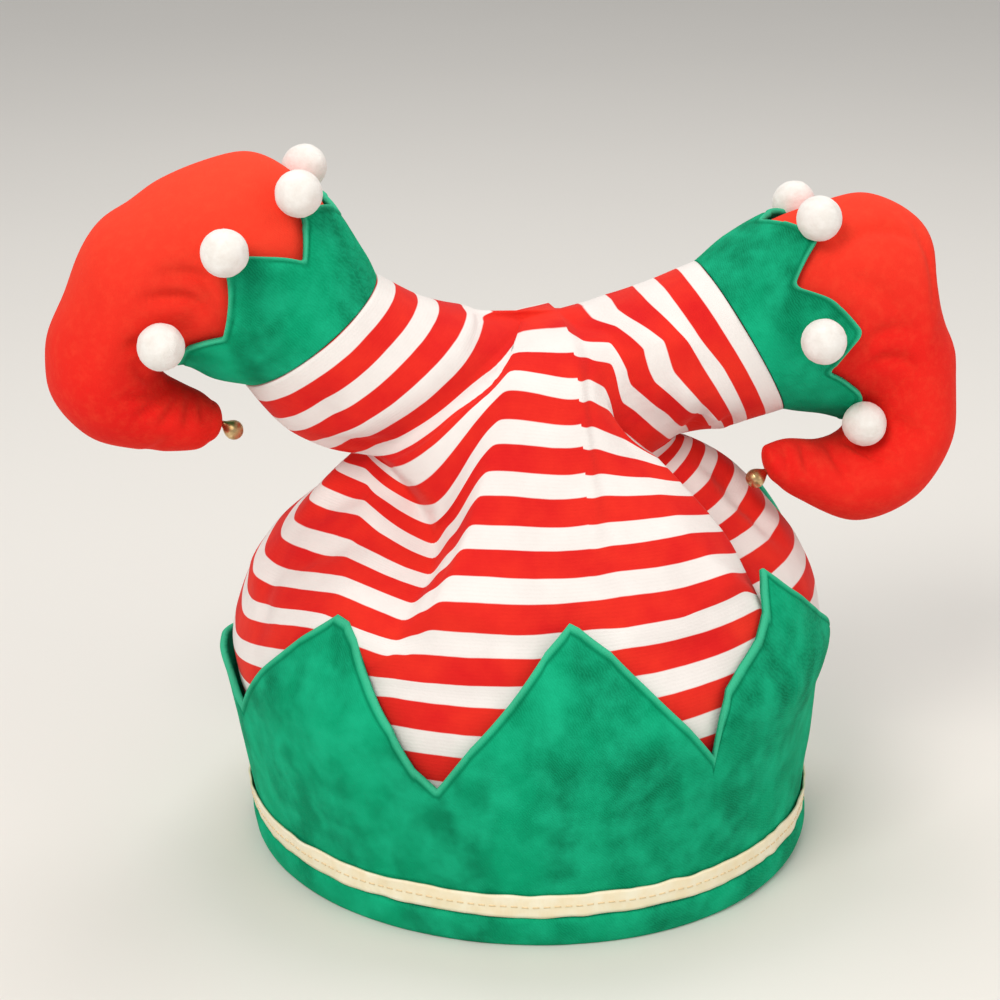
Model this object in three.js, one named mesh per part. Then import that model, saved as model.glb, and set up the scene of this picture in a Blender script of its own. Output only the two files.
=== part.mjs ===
// Elf legs hat: striped upside-down trousers on a zigzag band, with two stuffed legs,
// cuffs with foam balls, curled shoes and toe bells. Millimetres, +Z up, front towards -Y.
import * as THREE from 'three';
import { mergeVertices } from 'three/addons/utils/BufferGeometryUtils.js';

// Driving dimensions
const clothWall = 2;           // striped crown cloth with its seam allowances
const bandWall = 2.5;          // doubled velvet
const cuffWall = 2;            // doubled velvet
const cuffGap = 0.8;           // clear space between a cuff and the shoe inside it
const sewnGap = 0.4;           // clear space between pieces that are sewn together
const hemHeight = 11;          // turned-out strip below the ribbon
const hemFlare = 2.5;          // how far the hem stands out from the band
const ribbonTo = 21;           // upper edge of the ribbon
const ribbonThickness = 0.8;
const ballRadius = 7.8;
const bellRadius = 3.4;
const toeTipLength = 4;        // the toe's point past the last shoe section
const ceilingRow = 7;          // crown section where the stuffing closes the head hollow

// Mesh density
const halfColumns = 24;        // columns round each trouser half and each leg
const rowsPerSection = 2;      // rows between two sections of the trousers
const columnsPerPoint = 8;    // columns round the band for each point
const shoeSides = 24;
const shoeRows = 26;
const cuffRows = 5;
const ballSides = 10;
const ballRings = 6;
const bellSides = 12;
const bandRows = [ribbonTo, 38, 54];       // heights of the band's level rows
const pointShares = [0.35, 0.7, 1];        // rows of the points, as shares of the way up to the edge
const smallestEdge = 1e-3;     // shorter edges are closed up
const weldDistance = 1e-4;

// Crown sections from the rim up. rise and depth place the centre seam, left and right the side
// points [x, z], and half is the half thickness: where it passes depth, the section has begun to
// close into the oval of a leg.
const crownSections = [
  { rise: 1.5, depth: 96, half: 96, left: [-98, 1.5], right: [92, 1.5] },
  { rise: 35, depth: 100, half: 100, left: [-103.5, 35], right: [93.5, 35] },
  { rise: 60, depth: 103, half: 103, left: [-108, 59], right: [95.5, 61] },
  { rise: 77, depth: 103, half: 103, left: [-110.5, 74], right: [100.5, 79] },
  { rise: 93, depth: 95.5, half: 95.5, left: [-108, 88], right: [98.5, 92] },
  { rise: 112, depth: 82, half: 82, left: [-98, 104], right: [92, 110] },
  { rise: 132, depth: 66, half: 66.5, left: [-84, 121], right: [78, 127] },
  { rise: 150, depth: 52, half: 54, left: [-72, 135], right: [60.5, 139] },
  { rise: 166, depth: 41, half: 46, left: [-65, 142], right: [50, 141] },
  { rise: 179, depth: 32, half: 41.5, left: [-65, 144], right: [49, 142] },
  { rise: 187.5, depth: 19, half: 38.5, left: [-67, 145], right: [50, 142] },
  { rise: 190, depth: 0, half: 36.5, left: [-70, 146.5], right: [54, 142.5] },
];

// Leg sections from the crotch to the ankle seam: top and under points [x, z] and half thickness.
const legSections = {
  left: [
    { top: [-21, 191.5], under: [-80, 148.5], half: 34 },
    { top: [-39.5, 196], under: [-92, 156.5], half: 31.5 },
    { top: [-56.5, 205.5], under: [-102.7, 170.7], half: 30 },
  ],
  right: [
    { top: [20, 192], under: [64, 145], half: 33.5 },
    { top: [38, 197], under: [75, 148], half: 31 },
    { top: [56, 204], under: [86, 151], half: 30 },
  ],
};

// Folds of the crown: each runs from one place to another, given as [section, share of the way
// from the front seam round the side to the back seam], and sinks by depth over width.
const crownFolds = [
  { side: 'left', from: [9, 0.5], to: [6.2, 0.24], depth: 8, width: 11 },
  { side: 'left', from: [9, 0.5], to: [6.4, 0.76], depth: 7, width: 11 },
  { side: 'right', from: [9, 0.5], to: [6.2, 0.72], depth: 7, width: 11 },
  { side: 'right', from: [8.8, 0.42], to: [6.6, 0.36], depth: 7, width: 11 },
  { side: 'right', from: [8.0, 0.2], to: [3.8, 0.29], depth: 9, width: 14 },
];

// How far the band's inner face stands off the crown at each height.
const bandStandOff = [
  { height: 0, off: 1 },
  { height: 40, off: 1.3 },
  { height: 65, off: 1.8 },
  { height: 90, off: 3.4 },
  { height: 120, off: 9 },
];

// Points of the band: azimuth (degrees from the front towards +X) and height of the valley
// before each point and of its tip, and how far the tip leans out from the standing band.
const bandPoints = [
  { valley: -80, floor: 59, tip: -54, height: 105, lean: -1 },
  { valley: -29, floor: 57, tip: -4, height: 112, lean: -1 },
  { valley: 22, floor: 62, tip: 45, height: 115, lean: 0 },
  { valley: 89, floor: 60, tip: 113, height: 111, lean: 0 },
  { valley: 138, floor: 58, tip: 162, height: 111, lean: 0 },
  { valley: 187, floor: 58, tip: 210, height: 108, lean: 0 },
  { valley: 235, floor: 60, tip: 262, height: 72, lean: 0 },
];

// Shoe sections after the ankle seam: instep-side and heel-or-sole-side points [x, z], half
// thickness, and swing, how far the section stands forward of the ankle. The last row is close
// to the toe tip.
const shoeSections = {
  left: [
    { inner: [-112, 175.5], outer: [-62, 211], half: 28, swing: 0 },
    { inner: [-120, 180.5], outer: [-70, 224], half: 28.5, swing: 0 },
    { inner: [-127, 182], outer: [-79, 238], half: 29, swing: 0 },
    { inner: [-130, 181.5], outer: [-99, 249.5], half: 29, swing: 0 },
    { inner: [-131, 180], outer: [-131, 239], half: 29, swing: 0 },
    { inner: [-131.5, 178.5], outer: [-151.5, 223.5], half: 28.5, swing: 0 },
    { inner: [-131, 176.5], outer: [-163.5, 195], half: 27.5, swing: 0 },
    { inner: [-130, 175], outer: [-167.5, 172], half: 25.5, swing: 0 },
    { inner: [-127.5, 172.5], outer: [-156, 155], half: 22, swing: 0 },
    { inner: [-122, 169.5], outer: [-136, 149], half: 17, swing: 0 },
    { inner: [-117, 167], outer: [-120.5, 148], half: 12.5, swing: 0 },
    { inner: [-113.5, 164], outer: [-115, 150.5], half: 8.5, swing: 0 },
  ],
  right: [
    { inner: [96, 151.5], outer: [68, 210.5], half: 28, swing: 0 },
    { inner: [104, 150], outer: [80, 216.5], half: 28.5, swing: 0 },
    { inner: [110, 148], outer: [97, 222.5], half: 29, swing: 0 },
    { inner: [112.5, 146.5], outer: [117, 226], half: 29, swing: 0 },
    { inner: [113.5, 145], outer: [137, 214], half: 29, swing: 1 },
    { inner: [113.5, 144], outer: [141, 190.5], half: 28.5, swing: 3 },
    { inner: [112.5, 144], outer: [147.5, 161.5], half: 27.5, swing: 6 },
    { inner: [110.5, 143.5], outer: [146, 140], half: 25.5, swing: 10 },
    { inner: [106.5, 143], outer: [132, 120], half: 22, swing: 14 },
    { inner: [97, 143], outer: [109.5, 113.5], half: 17, swing: 18 },
    { inner: [84.5, 146], outer: [87, 124.5], half: 12, swing: 22 },
    { inner: [76.5, 145.2], outer: [79.5, 130.5], half: 8.5, swing: 24 },
  ],
};

// Cuff edge: reach along the shoe sections at each angle from the heel (0) to the instep (180),
// and the steps from there to the next angle. The far side mirrors the near one.
const cuffEdge = {
  left: [
    { angle: 0, reach: 2.1, steps: 3 },
    { angle: 40, reach: 3.0, steps: 1 },
    { angle: 59, reach: 2.3, steps: 2 },
    { angle: 82, reach: 3.85, steps: 2 },
    { angle: 118, reach: 2.4, steps: 1 },
    { angle: 135, reach: 3.25, steps: 3 },
    { angle: 180, reach: 2.1, steps: 0 },
  ],
  right: [
    { angle: 0, reach: 1.9, steps: 2 },
    { angle: 36, reach: 2.5, steps: 2 },
    { angle: 59, reach: 1.8, steps: 2 },
    { angle: 89, reach: 2.95, steps: 2 },
    { angle: 108, reach: 2.0, steps: 1 },
    { angle: 129, reach: 2.95, steps: 3 },
    { angle: 180, reach: 2.0, steps: 0 },
  ],
};

// Foam balls of each cuff: angle and reach as above on the near side, then on the far side. lift
// is how far they stand off the shoe there, on its skin or on the cuff.
const onCuff = cuffGap + cuffWall + sewnGap;
const onTip = 2.5;
const onTipEdge = 1.4;
const inCurl = 1.7;
const pastTip = 1;
const cuffBalls = {
  left: [
    { near: { angle: 39, reach: 3.27, lift: onTipEdge }, far: { angle: 35, reach: 2.96, lift: onTip } },
    { near: { angle: 77, reach: 3.92, lift: onTip }, far: { angle: 77, reach: 3.92, lift: onTip } },
    { near: { angle: 113, reach: 5.2, lift: sewnGap }, far: { angle: 113, reach: 5.2, lift: sewnGap } },
  ],
  right: [
    { near: { angle: 30, reach: 2.78, lift: pastTip }, far: { angle: 42, reach: 3, lift: sewnGap } },
    { near: { angle: 86, reach: 1.88, lift: onCuff }, far: { angle: 86, reach: 1.88, lift: onCuff } },
    { near: { angle: 138, reach: 3.9, lift: inCurl }, far: { angle: 138, reach: 3.9, lift: onTipEdge } },
  ],
};

// Bells: the place between toe tip (0) and the sole side of the last section (1), and the way
// they hang from it, in degrees up from +X.
const bellHang = {
  left: { share: 0.15, turn: -35 },
  right: { share: 0.4, turn: 213 },
};

const finishes = {
  stripedCloth: { color: 0xf0382c, roughness: 0.85, metalness: 0 },
  redPlush: { color: 0xf0302a, roughness: 0.85, metalness: 0 },
  greenVelvet: { color: 0x12a578, roughness: 0.9, metalness: 0 },
  goldSatin: { color: 0xeed497, roughness: 0.45, metalness: 0 },
  whiteFoam: { color: 0xf8f6f2, roughness: 0.95, metalness: 0 },
  brass: { color: 0xb8966c, roughness: 0.35, metalness: 0.9 },
};

// Half profile of a bell in bell radii, from its closed end to the eye at the toe.
const bellProfile = [
  { out: 0, up: -1 },
  { out: 0.5, up: -0.87 },
  { out: 0.87, up: -0.5 },
  { out: 1, up: 0 },
  { out: 0.87, up: 0.5 },
  { out: 0.5, up: 1 },
  { out: 0.34, up: 1.45 },
  { out: 0, up: 1.45 },
];

// Small helpers

const lerp = THREE.MathUtils.lerp;

// Smooth value of a list of numbers at a fractional index.
function smoothAt(values, index) {
  const last = values.length - 1;
  const i = Math.min(Math.max(Math.floor(index), 0), last - 1);
  const t = index - i;
  const at = (k) => values[Math.min(Math.max(k, 0), last)];
  const slopeA = (at(i + 1) - at(i - 1)) / 2;
  const slopeB = (at(i + 2) - at(i)) / 2;
  const t2 = t * t;
  const t3 = t2 * t;
  return at(i) * (2 * t3 - 3 * t2 + 1) + slopeA * (t3 - 2 * t2 + t)
    + at(i + 1) * (3 * t2 - 2 * t3) + slopeB * (t3 - t2);
}

// Straight-line value of a table column at a key.
function linearAt(rows, keyName, valueName, key) {
  let i = 0;
  while (i < rows.length - 2 && rows[i + 1][keyName] < key) {
    i += 1;
  }
  const a = rows[i];
  const b = rows[i + 1];
  const t = THREE.MathUtils.clamp((key - a[keyName]) / (b[keyName] - a[keyName]), 0, 1);
  return lerp(a[valueName], b[valueName], t);
}

// Triangles between neighbouring rows of points. A closed row joins its last point to its first.
function skin(rows, closed) {
  const triangles = [];
  const count = rows[0].length;
  const steps = closed ? count : count - 1;
  for (let r = 0; r < rows.length - 1; r += 1) {
    for (let c = 0; c < steps; c += 1) {
      const d = (c + 1) % count;
      triangles.push([rows[r][c], rows[r][d], rows[r + 1][d]]);
      triangles.push([rows[r][c], rows[r + 1][d], rows[r + 1][c]]);
    }
  }
  return triangles;
}

// Triangles from a row of points to one point.
function fan(row, tip, closed) {
  const steps = closed ? row.length : row.length - 1;
  const triangles = [];
  for (let c = 0; c < steps; c += 1) {
    triangles.push([row[c], row[(c + 1) % row.length], tip]);
  }
  return triangles;
}

function flipped(triangles) {
  return triangles.map(([a, b, c]) => [a, c, b]);
}

function middle(points) {
  const sum = new THREE.Vector3();
  points.forEach((p) => sum.add(p));
  return sum.divideScalar(points.length);
}

// One closed geometry from triangles, leaving out any that have no area.
function solid(triangles) {
  const positions = [];
  triangles.forEach((corners) => {
    const [a, b, c] = corners;
    const shortest = Math.min(a.distanceTo(b), b.distanceTo(c), c.distanceTo(a));
    if (shortest >= smallestEdge) {
      corners.forEach((p) => positions.push(p.x, p.y, p.z));
    }
  });
  const geometry = new THREE.BufferGeometry();
  geometry.setAttribute('position', new THREE.Float32BufferAttribute(positions, 3));
  const merged = mergeVertices(geometry, weldDistance);
  merged.computeVertexNormals();
  return merged;
}

const hat = new THREE.Group();

function addPiece(name, geometry, finish) {
  const mesh = new THREE.Mesh(geometry, new THREE.MeshStandardMaterial(finish));
  mesh.name = name;
  hat.add(mesh);
  return mesh;
}

// Trousers

const crotch = crownSections.length - 1;
const column = (rows, name) => rows.map((row) => row[name]);

// Section of one trouser half at a fractional index, from the rim (0) past the crotch to the ankle.
function halfSection(side, index) {
  const legs = legSections[side];
  const topX = [...crownSections.map(() => 0), ...legs.map((row) => row.top[0])];
  const topZ = [...column(crownSections, 'rise'), ...legs.map((row) => row.top[1])];
  const underX = [...crownSections.map((row) => row[side][0]), ...legs.map((row) => row.under[0])];
  const underZ = [...crownSections.map((row) => row[side][1]), ...legs.map((row) => row.under[1])];
  const half = [...column(crownSections, 'half'), ...column(legs, 'half')];
  const depth = index < crotch ? smoothAt(column(crownSections, 'depth'), index) : 0;
  return {
    top: new THREE.Vector3(index <= crotch ? 0 : smoothAt(topX, index), 0, smoothAt(topZ, index)),
    under: new THREE.Vector3(smoothAt(underX, index), 0, smoothAt(underZ, index)),
    depth,
    half: Math.max(smoothAt(half, index), depth),
  };
}

// Point of a trouser half. way runs from the front seam (0) round the side to the back seam (1),
// on half an ellipse at the rim and on more and more of one towards the leg.
function halfPoint(side, index, way) {
  const { top, under, depth, half } = halfSection(side, index);
  const start = Math.asin(THREE.MathUtils.clamp(depth / half, 0, 1));
  const turn = lerp(start, 2 * Math.PI - start, way);
  const reach = (Math.cos(start) - Math.cos(turn)) / (Math.cos(start) + 1);
  const point = top.clone().lerp(under, reach);
  point.y = -half * Math.sin(turn);
  return point;
}

const foldSamples = 14;        // points along each fold
const foldPaths = crownFolds.map((fold) => {
  const points = [];
  for (let i = 0; i <= foldSamples; i += 1) {
    const t = i / foldSamples;
    const index = lerp(fold.from[0], fold.to[0], t);
    const way = lerp(fold.from[1], fold.to[1], t);
    points.push({ at: halfPoint(fold.side, index, way), strength: 1 - t * t * t });
  }
  return { ...fold, points };
});

// How far the folds sink the cloth at a point.
function foldDepth(side, point) {
  let sink = 0;
  foldPaths.filter((fold) => fold.side === side).forEach((fold) => {
    let most = 0;
    fold.points.forEach(({ at, strength }) => {
      const away = point.distanceTo(at) / fold.width;
      most = Math.max(most, strength * Math.exp(-away * away));
    });
    sink = Math.max(sink, most * fold.depth);
  });
  return sink;
}

// Outward direction of the cloth of a trouser half, from points a step to each side.
const normalStep = 0.02;
const seamMargin = 0.03;       // nearest share of the way to a seam where it is taken
function halfNormal(side, index, way) {
  const at = Math.max(index, 2 * normalStep);
  const near = THREE.MathUtils.clamp(way, seamMargin, 1 - seamMargin);
  const along = halfPoint(side, at + normalStep, near).sub(halfPoint(side, at - normalStep, near));
  const round = halfPoint(side, at, near + normalStep).sub(halfPoint(side, at, near - normalStep));
  const normal = side === 'right' ? round.cross(along) : along.cross(round);
  return normal.normalize();
}

// A row of one half: its outer points and, inside the hollow, its inner ones.
function halfRow(side, index) {
  const outer = [];
  const inner = [];
  for (let c = 0; c <= halfColumns; c += 1) {
    const way = c / halfColumns;
    const point = halfPoint(side, index, way);
    const onSeam = c === 0 || c === halfColumns;
    const normal = halfNormal(side, index, way);
    if (onSeam) {
      normal.x = 0;
      normal.normalize();
    }
    const seated = point.clone();
    if (!onSeam) {
      seated.addScaledVector(normal, -foldDepth(side, point));
    }
    outer.push(seated);
    if (index === 0) {
      normal.z = 0;
      normal.normalize();
    }
    inner.push(seated.clone().addScaledVector(normal, -clothWall));
  }
  return { outer, inner };
}

// Whole ring: front seam, right side, back seam, left side.
function joinHalves(right, left) {
  return [...right, ...left.slice(1, -1).reverse()];
}

function trousers() {
  const outerRings = [];
  const innerRings = [];
  for (let r = 0; r <= crotch * rowsPerSection; r += 1) {
    const index = r / rowsPerSection;
    const right = halfRow('right', index);
    const left = halfRow('left', index);
    if (index === crotch) {
      outerRings.push([...right.outer, ...left.outer.slice(0, -1).reverse()].slice(0, -1));
    } else {
      outerRings.push(joinHalves(right.outer, left.outer));
    }
    if (index <= ceilingRow) {
      innerRings.push(joinHalves(right.inner, left.inner));
    }
  }
  return { outerRings, innerRings };
}

function trouserTriangles() {
  const { outerRings, innerRings } = trousers();
  const triangles = skin(outerRings, true);
  triangles.push(...flipped(skin(innerRings, true)));
  triangles.push(...skin([innerRings[0], outerRings[0]], true));
  const ceiling = innerRings[innerRings.length - 1];
  triangles.push(...flipped(fan(ceiling, middle(ceiling), true)));
  ['right', 'left'].forEach((side) => {
    const loops = [];
    const lastRow = legSections[side].length * rowsPerSection;
    for (let r = 0; r <= lastRow; r += 1) {
      loops.push(halfRow(side, crotch + r / rowsPerSection).outer);
    }
    const ankle = loops[loops.length - 1];
    const leg = [...skin(loops, false), ...fan(ankle, middle(ankle.slice(1)), false)];
    triangles.push(...(side === 'right' ? leg : flipped(leg)));
  });
  return triangles;
}

addPiece('trousers', solid(trouserTriangles()), finishes.stripedCloth);

// Band and ribbon

// Height and lean of the band's zigzag edge at an azimuth.
function bandEdge(azimuth) {
  const turns = bandPoints.flatMap((point) => [
    { at: point.valley, height: point.floor, lean: 0 },
    { at: point.tip, height: point.height, lean: point.lean },
  ]);
  turns.push({ ...turns[0], at: turns[0].at + 360 });
  return {
    height: linearAt(turns, 'at', 'height', azimuth),
    lean: linearAt(turns, 'at', 'lean', azimuth),
  };
}

// Columns of the band, with one exactly at each valley and each tip.
function bandColumns() {
  const azimuths = [];
  bandPoints.forEach((point, i) => {
    const next = i + 1 < bandPoints.length ? bandPoints[i + 1].valley : bandPoints[0].valley + 360;
    const perSide = columnsPerPoint / 2;
    for (let c = 0; c < perSide; c += 1) {
      azimuths.push(lerp(point.valley, point.tip, c / perSide));
    }
    for (let c = 0; c < perSide; c += 1) {
      azimuths.push(lerp(point.tip, next, c / perSide));
    }
  });
  return azimuths;
}

// Distance of the crown's cloth from the axis at an azimuth and a height, by halving the interval.
const halvings = 30;
function crownRadius(turn, height) {
  const side = Math.sin(turn) < 0 ? 'left' : 'right';
  let low = 0;
  let high = ceilingRow;
  let point = new THREE.Vector3();
  for (let i = 0; i < halvings; i += 1) {
    const index = (low + high) / 2;
    const { under, depth } = halfSection(side, index);
    const way = Math.atan2(Math.abs(Math.sin(turn) / under.x), Math.cos(turn) / depth) / Math.PI;
    point = halfPoint(side, index, way);
    if (point.z < height) {
      low = index;
    } else {
      high = index;
    }
  }
  return Math.hypot(point.x, point.y);
}

function bandPoint(azimuth, height, offset) {
  const turn = THREE.MathUtils.degToRad(azimuth);
  const off = linearAt(bandStandOff, 'height', 'off', height);
  const radius = crownRadius(turn, Math.max(height, crownSections[0].rise)) + off + offset;
  return new THREE.Vector3(radius * Math.sin(turn), -radius * Math.cos(turn), height);
}

function bandTriangles() {
  const azimuths = bandColumns();
  const levelRow = (offset, height) => azimuths.map((azimuth) => bandPoint(azimuth, height, offset));
  const pointRow = (offset, share) => azimuths.map((azimuth) => {
    const edge = bandEdge(azimuth);
    const height = lerp(bandRows[bandRows.length - 1], edge.height, share);
    return bandPoint(azimuth, height, offset + edge.lean * share * share);
  });
  const outer = [
    levelRow(bandWall + hemFlare, 0),
    levelRow(bandWall + hemFlare, hemHeight - hemFlare),
    levelRow(bandWall, hemHeight),
  ];
  const inner = [levelRow(0, 0)];
  bandRows.forEach((height) => {
    outer.push(levelRow(bandWall, height));
    inner.push(levelRow(0, height));
  });
  pointShares.forEach((share) => {
    outer.push(pointRow(bandWall, share));
    inner.push(pointRow(0, share));
  });
  return [
    ...skin(outer, true),
    ...flipped(skin(inner, true)),
    ...skin([inner[0], outer[0]], true),
    ...skin([outer[outer.length - 1], inner[inner.length - 1]], true),
  ];
}

addPiece('band', solid(bandTriangles()), finishes.greenVelvet);

function ribbonTriangles() {
  const azimuths = bandColumns();
  const near = bandWall + sewnGap;
  const far = near + ribbonThickness;
  const low = hemHeight + sewnGap;
  const row = (offset, height) => azimuths.map((azimuth) => bandPoint(azimuth, height, offset));
  const loop = [row(near, low), row(far, low), row(far, ribbonTo), row(near, ribbonTo), row(near, low)];
  return skin(loop, true);
}

addPiece('ribbon', solid(ribbonTriangles()), finishes.goldSatin);

// Shoes, cuffs, balls and bells

// Shoe sections with the ankle seam in front: the leg's last section, drawn in by the cuff.
function shoeTable(side) {
  const legs = legSections[side];
  const seam = legs[legs.length - 1];
  const top = new THREE.Vector2(...seam.top);
  const under = new THREE.Vector2(...seam.under);
  const across = top.clone().sub(under).normalize();
  const axis = new THREE.Vector2(-across.y, across.x).multiplyScalar(side === 'left' ? 1 : -1);
  const drawnIn = cuffWall + cuffGap;
  top.addScaledVector(across, -drawnIn).addScaledVector(axis, sewnGap);
  under.addScaledVector(across, drawnIn).addScaledVector(axis, sewnGap);
  const half = seam.half - drawnIn;
  const first = { inner: under.toArray(), outer: top.toArray(), half, swing: 0 };
  return [first, ...shoeSections[side]];
}

// Point on a shoe at a fractional section and an angle from the heel side, grown by an offset.
function shoePoint(table, index, angle, offset) {
  const pick = (name, axis) => smoothAt(table.map((row) => row[name][axis]), index);
  const inner = new THREE.Vector3(pick('inner', 0), 0, pick('inner', 1));
  const outer = new THREE.Vector3(pick('outer', 0), 0, pick('outer', 1));
  const half = smoothAt(column(table, 'half'), index) + offset;
  const centre = inner.clone().add(outer).multiplyScalar(0.5);
  const arm = outer.sub(centre);
  arm.setLength(arm.length() + offset);
  centre.addScaledVector(arm, Math.cos(angle));
  centre.y = -half * Math.sin(angle) - smoothAt(column(table, 'swing'), index);
  return centre;
}

function shoeRow(table, index, offset) {
  const points = [];
  for (let c = 0; c < shoeSides; c += 1) {
    points.push(shoePoint(table, index, (2 * Math.PI * c) / shoeSides, offset));
  }
  return points;
}

// Tip of the toe, past the last section the way its last share of a section runs.
const headingShare = 0.3;
function toeTip(table) {
  const last = table.length - 1;
  const end = middle(shoeRow(table, last, 0));
  const before = middle(shoeRow(table, last - headingShare, 0));
  const heading = end.clone().sub(before).normalize();
  return end.addScaledVector(heading, toeTipLength);
}

function shoeTriangles(side) {
  const table = shoeTable(side);
  const rows = [];
  for (let r = 0; r <= shoeRows; r += 1) {
    rows.push(shoeRow(table, (r / shoeRows) * (table.length - 1), 0));
  }
  const triangles = [
    ...flipped(fan(rows[0], middle(rows[0]), true)),
    ...skin(rows, true),
    ...fan(rows[rows.length - 1], toeTip(table), true),
  ];
  return side === 'left' ? flipped(triangles) : triangles;
}

// Columns of a cuff with its reach at each: the near half's, then mirrored on the far side.
function cuffColumns(side) {
  const near = [];
  cuffEdge[side].slice(0, -1).forEach((row, i) => {
    const next = cuffEdge[side][i + 1];
    for (let c = 0; c < row.steps; c += 1) {
      const share = c / row.steps;
      near.push({ degrees: lerp(row.angle, next.angle, share), reach: lerp(row.reach, next.reach, share) });
    }
  });
  const instep = cuffEdge[side][cuffEdge[side].length - 1];
  const far = near.slice(1).reverse().map(({ degrees, reach }) => ({ degrees: 360 - degrees, reach }));
  return [...near, { degrees: instep.angle, reach: instep.reach }, ...far];
}

function cuffTriangles(side) {
  const table = shoeTable(side);
  const columns = cuffColumns(side);
  const rowAt = (share, offset) => columns.map(({ degrees, reach }) => (
    shoePoint(table, share * reach, THREE.MathUtils.degToRad(degrees), offset)));
  const inner = [];
  const outer = [];
  for (let r = 0; r <= cuffRows; r += 1) {
    inner.push(rowAt(r / cuffRows, cuffGap));
    outer.push(rowAt(r / cuffRows, cuffGap + cuffWall));
  }
  const triangles = [
    ...skin(outer, true),
    ...flipped(skin(inner, true)),
    ...skin([inner[0], outer[0]], true),
    ...skin([outer[cuffRows], inner[cuffRows]], true),
  ];
  return side === 'left' ? flipped(triangles) : triangles;
}

// Centre of a ball that rests on the shoe or on the cuff over it: turn is 1 on the near side, -1
// on the far one.
const ballStep = 0.05;         // step along and round the shoe for its outward direction
function ballCentre(table, ball, turn) {
  const angle = THREE.MathUtils.degToRad(ball.angle) * turn;
  const at = shoePoint(table, ball.reach, angle, 0);
  const along = shoePoint(table, ball.reach + ballStep, angle, 0).sub(at);
  const round = shoePoint(table, ball.reach, angle + ballStep, 0).sub(at);
  const normal = round.cross(along).normalize();
  const outward = at.clone().sub(middle(shoeRow(table, ball.reach, 0)));
  if (normal.dot(outward) < 0) {
    normal.negate();
  }
  return at.addScaledVector(normal, ball.lift + ballRadius);
}

function bellGeometry() {
  const points = bellProfile.map(({ out, up }) => new THREE.Vector2(out * bellRadius, up * bellRadius));
  return new THREE.LatheGeometry(points, bellSides);
}

['left', 'right'].forEach((side) => {
  const table = shoeTable(side);
  addPiece(`shoe_${side}`, solid(shoeTriangles(side)), finishes.redPlush);
  addPiece(`shoe_cuff_${side}`, solid(cuffTriangles(side)), finishes.greenVelvet);
  const places = [
    ...cuffBalls[side].map(({ near }) => ballCentre(table, near, 1)),
    ...cuffBalls[side].map(({ far }) => ballCentre(table, far, -1)),
  ];
  places.forEach((place, i) => {
    const geometry = new THREE.SphereGeometry(ballRadius, ballSides, ballRings);
    addPiece(`ball_${side}_${i + 1}`, geometry, finishes.whiteFoam).position.copy(place);
  });
  const { share, turn } = bellHang[side];
  const sole = shoePoint(table, table.length - 1, 0, 0);
  const slope = THREE.MathUtils.degToRad(turn);
  const hang = new THREE.Vector3(Math.cos(slope), 0, Math.sin(slope));
  const eye = bellRadius * bellProfile[bellProfile.length - 1].up;
  const bell = addPiece(`bell_${side}`, bellGeometry(), finishes.brass);
  bell.quaternion.setFromUnitVectors(new THREE.Vector3(0, 1, 0), hang.clone().negate());
  bell.position.copy(toeTip(table)).lerp(sole, share).addScaledVector(hang, eye + sewnGap);
});

// The hat stands on its hem with the middle of its box over the origin.
const box = new THREE.Box3().setFromObject(hat);
const centre = box.getCenter(new THREE.Vector3());
hat.position.set(-centre.x, -centre.y, -box.min.z);
hat.updateMatrixWorld(true);

export default hat;
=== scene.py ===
import math
import bmesh
import bpy
import numpy as np
from mathutils import Matrix, Vector


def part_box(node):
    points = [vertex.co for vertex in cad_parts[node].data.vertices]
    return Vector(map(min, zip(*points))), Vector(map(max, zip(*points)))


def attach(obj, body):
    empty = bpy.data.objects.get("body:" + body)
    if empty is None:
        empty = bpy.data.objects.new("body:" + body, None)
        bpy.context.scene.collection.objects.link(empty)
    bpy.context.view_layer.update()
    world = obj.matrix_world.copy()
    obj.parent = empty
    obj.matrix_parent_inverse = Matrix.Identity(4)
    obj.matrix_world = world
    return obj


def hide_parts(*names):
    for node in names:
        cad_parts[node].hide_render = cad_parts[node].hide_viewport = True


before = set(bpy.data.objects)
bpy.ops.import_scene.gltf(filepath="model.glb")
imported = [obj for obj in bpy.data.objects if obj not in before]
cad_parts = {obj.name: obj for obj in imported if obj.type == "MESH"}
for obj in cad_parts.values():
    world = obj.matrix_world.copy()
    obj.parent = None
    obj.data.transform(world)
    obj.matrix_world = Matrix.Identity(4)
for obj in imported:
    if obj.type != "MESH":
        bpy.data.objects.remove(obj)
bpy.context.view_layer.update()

# Sizes are in millimetres round the hat's own axis: +Z up, front towards -Y
mm = 0.001
sides = ("left", "right")
axisFromRibbon = 4.17                # the hat's axis lies this far right of the ribbon's middle
ribbonLow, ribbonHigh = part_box("ribbon")
hatAxis = np.array(((ribbonLow.x + ribbonHigh.x) / 2 / mm + axisFromRibbon, 0.0, 0.0))


# smooth way from a to b, with the slopes at both ends
def hermite(a, slopeA, b, slopeB, t):
    return (a * (2 * t**3 - 3 * t**2 + 1) + slopeA * (t**3 - 2 * t**2 + t)
            + b * (3 * t**2 - 2 * t**3) + slopeB * (t**3 - t**2))


# smooth value of a list at fractional places
def smoothAt(values, index):
    v = np.asarray(values, float)
    last = len(v) - 1
    i = np.clip(np.floor(index).astype(int), 0, last - 1)
    a, b = v[i], v[i + 1]
    slopeA = (b - v[np.clip(i - 1, 0, last)]) / 2
    slopeB = (v[np.clip(i + 2, 0, last)] - a) / 2
    return hermite(a, slopeA, b, slopeB, index - i)


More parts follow.
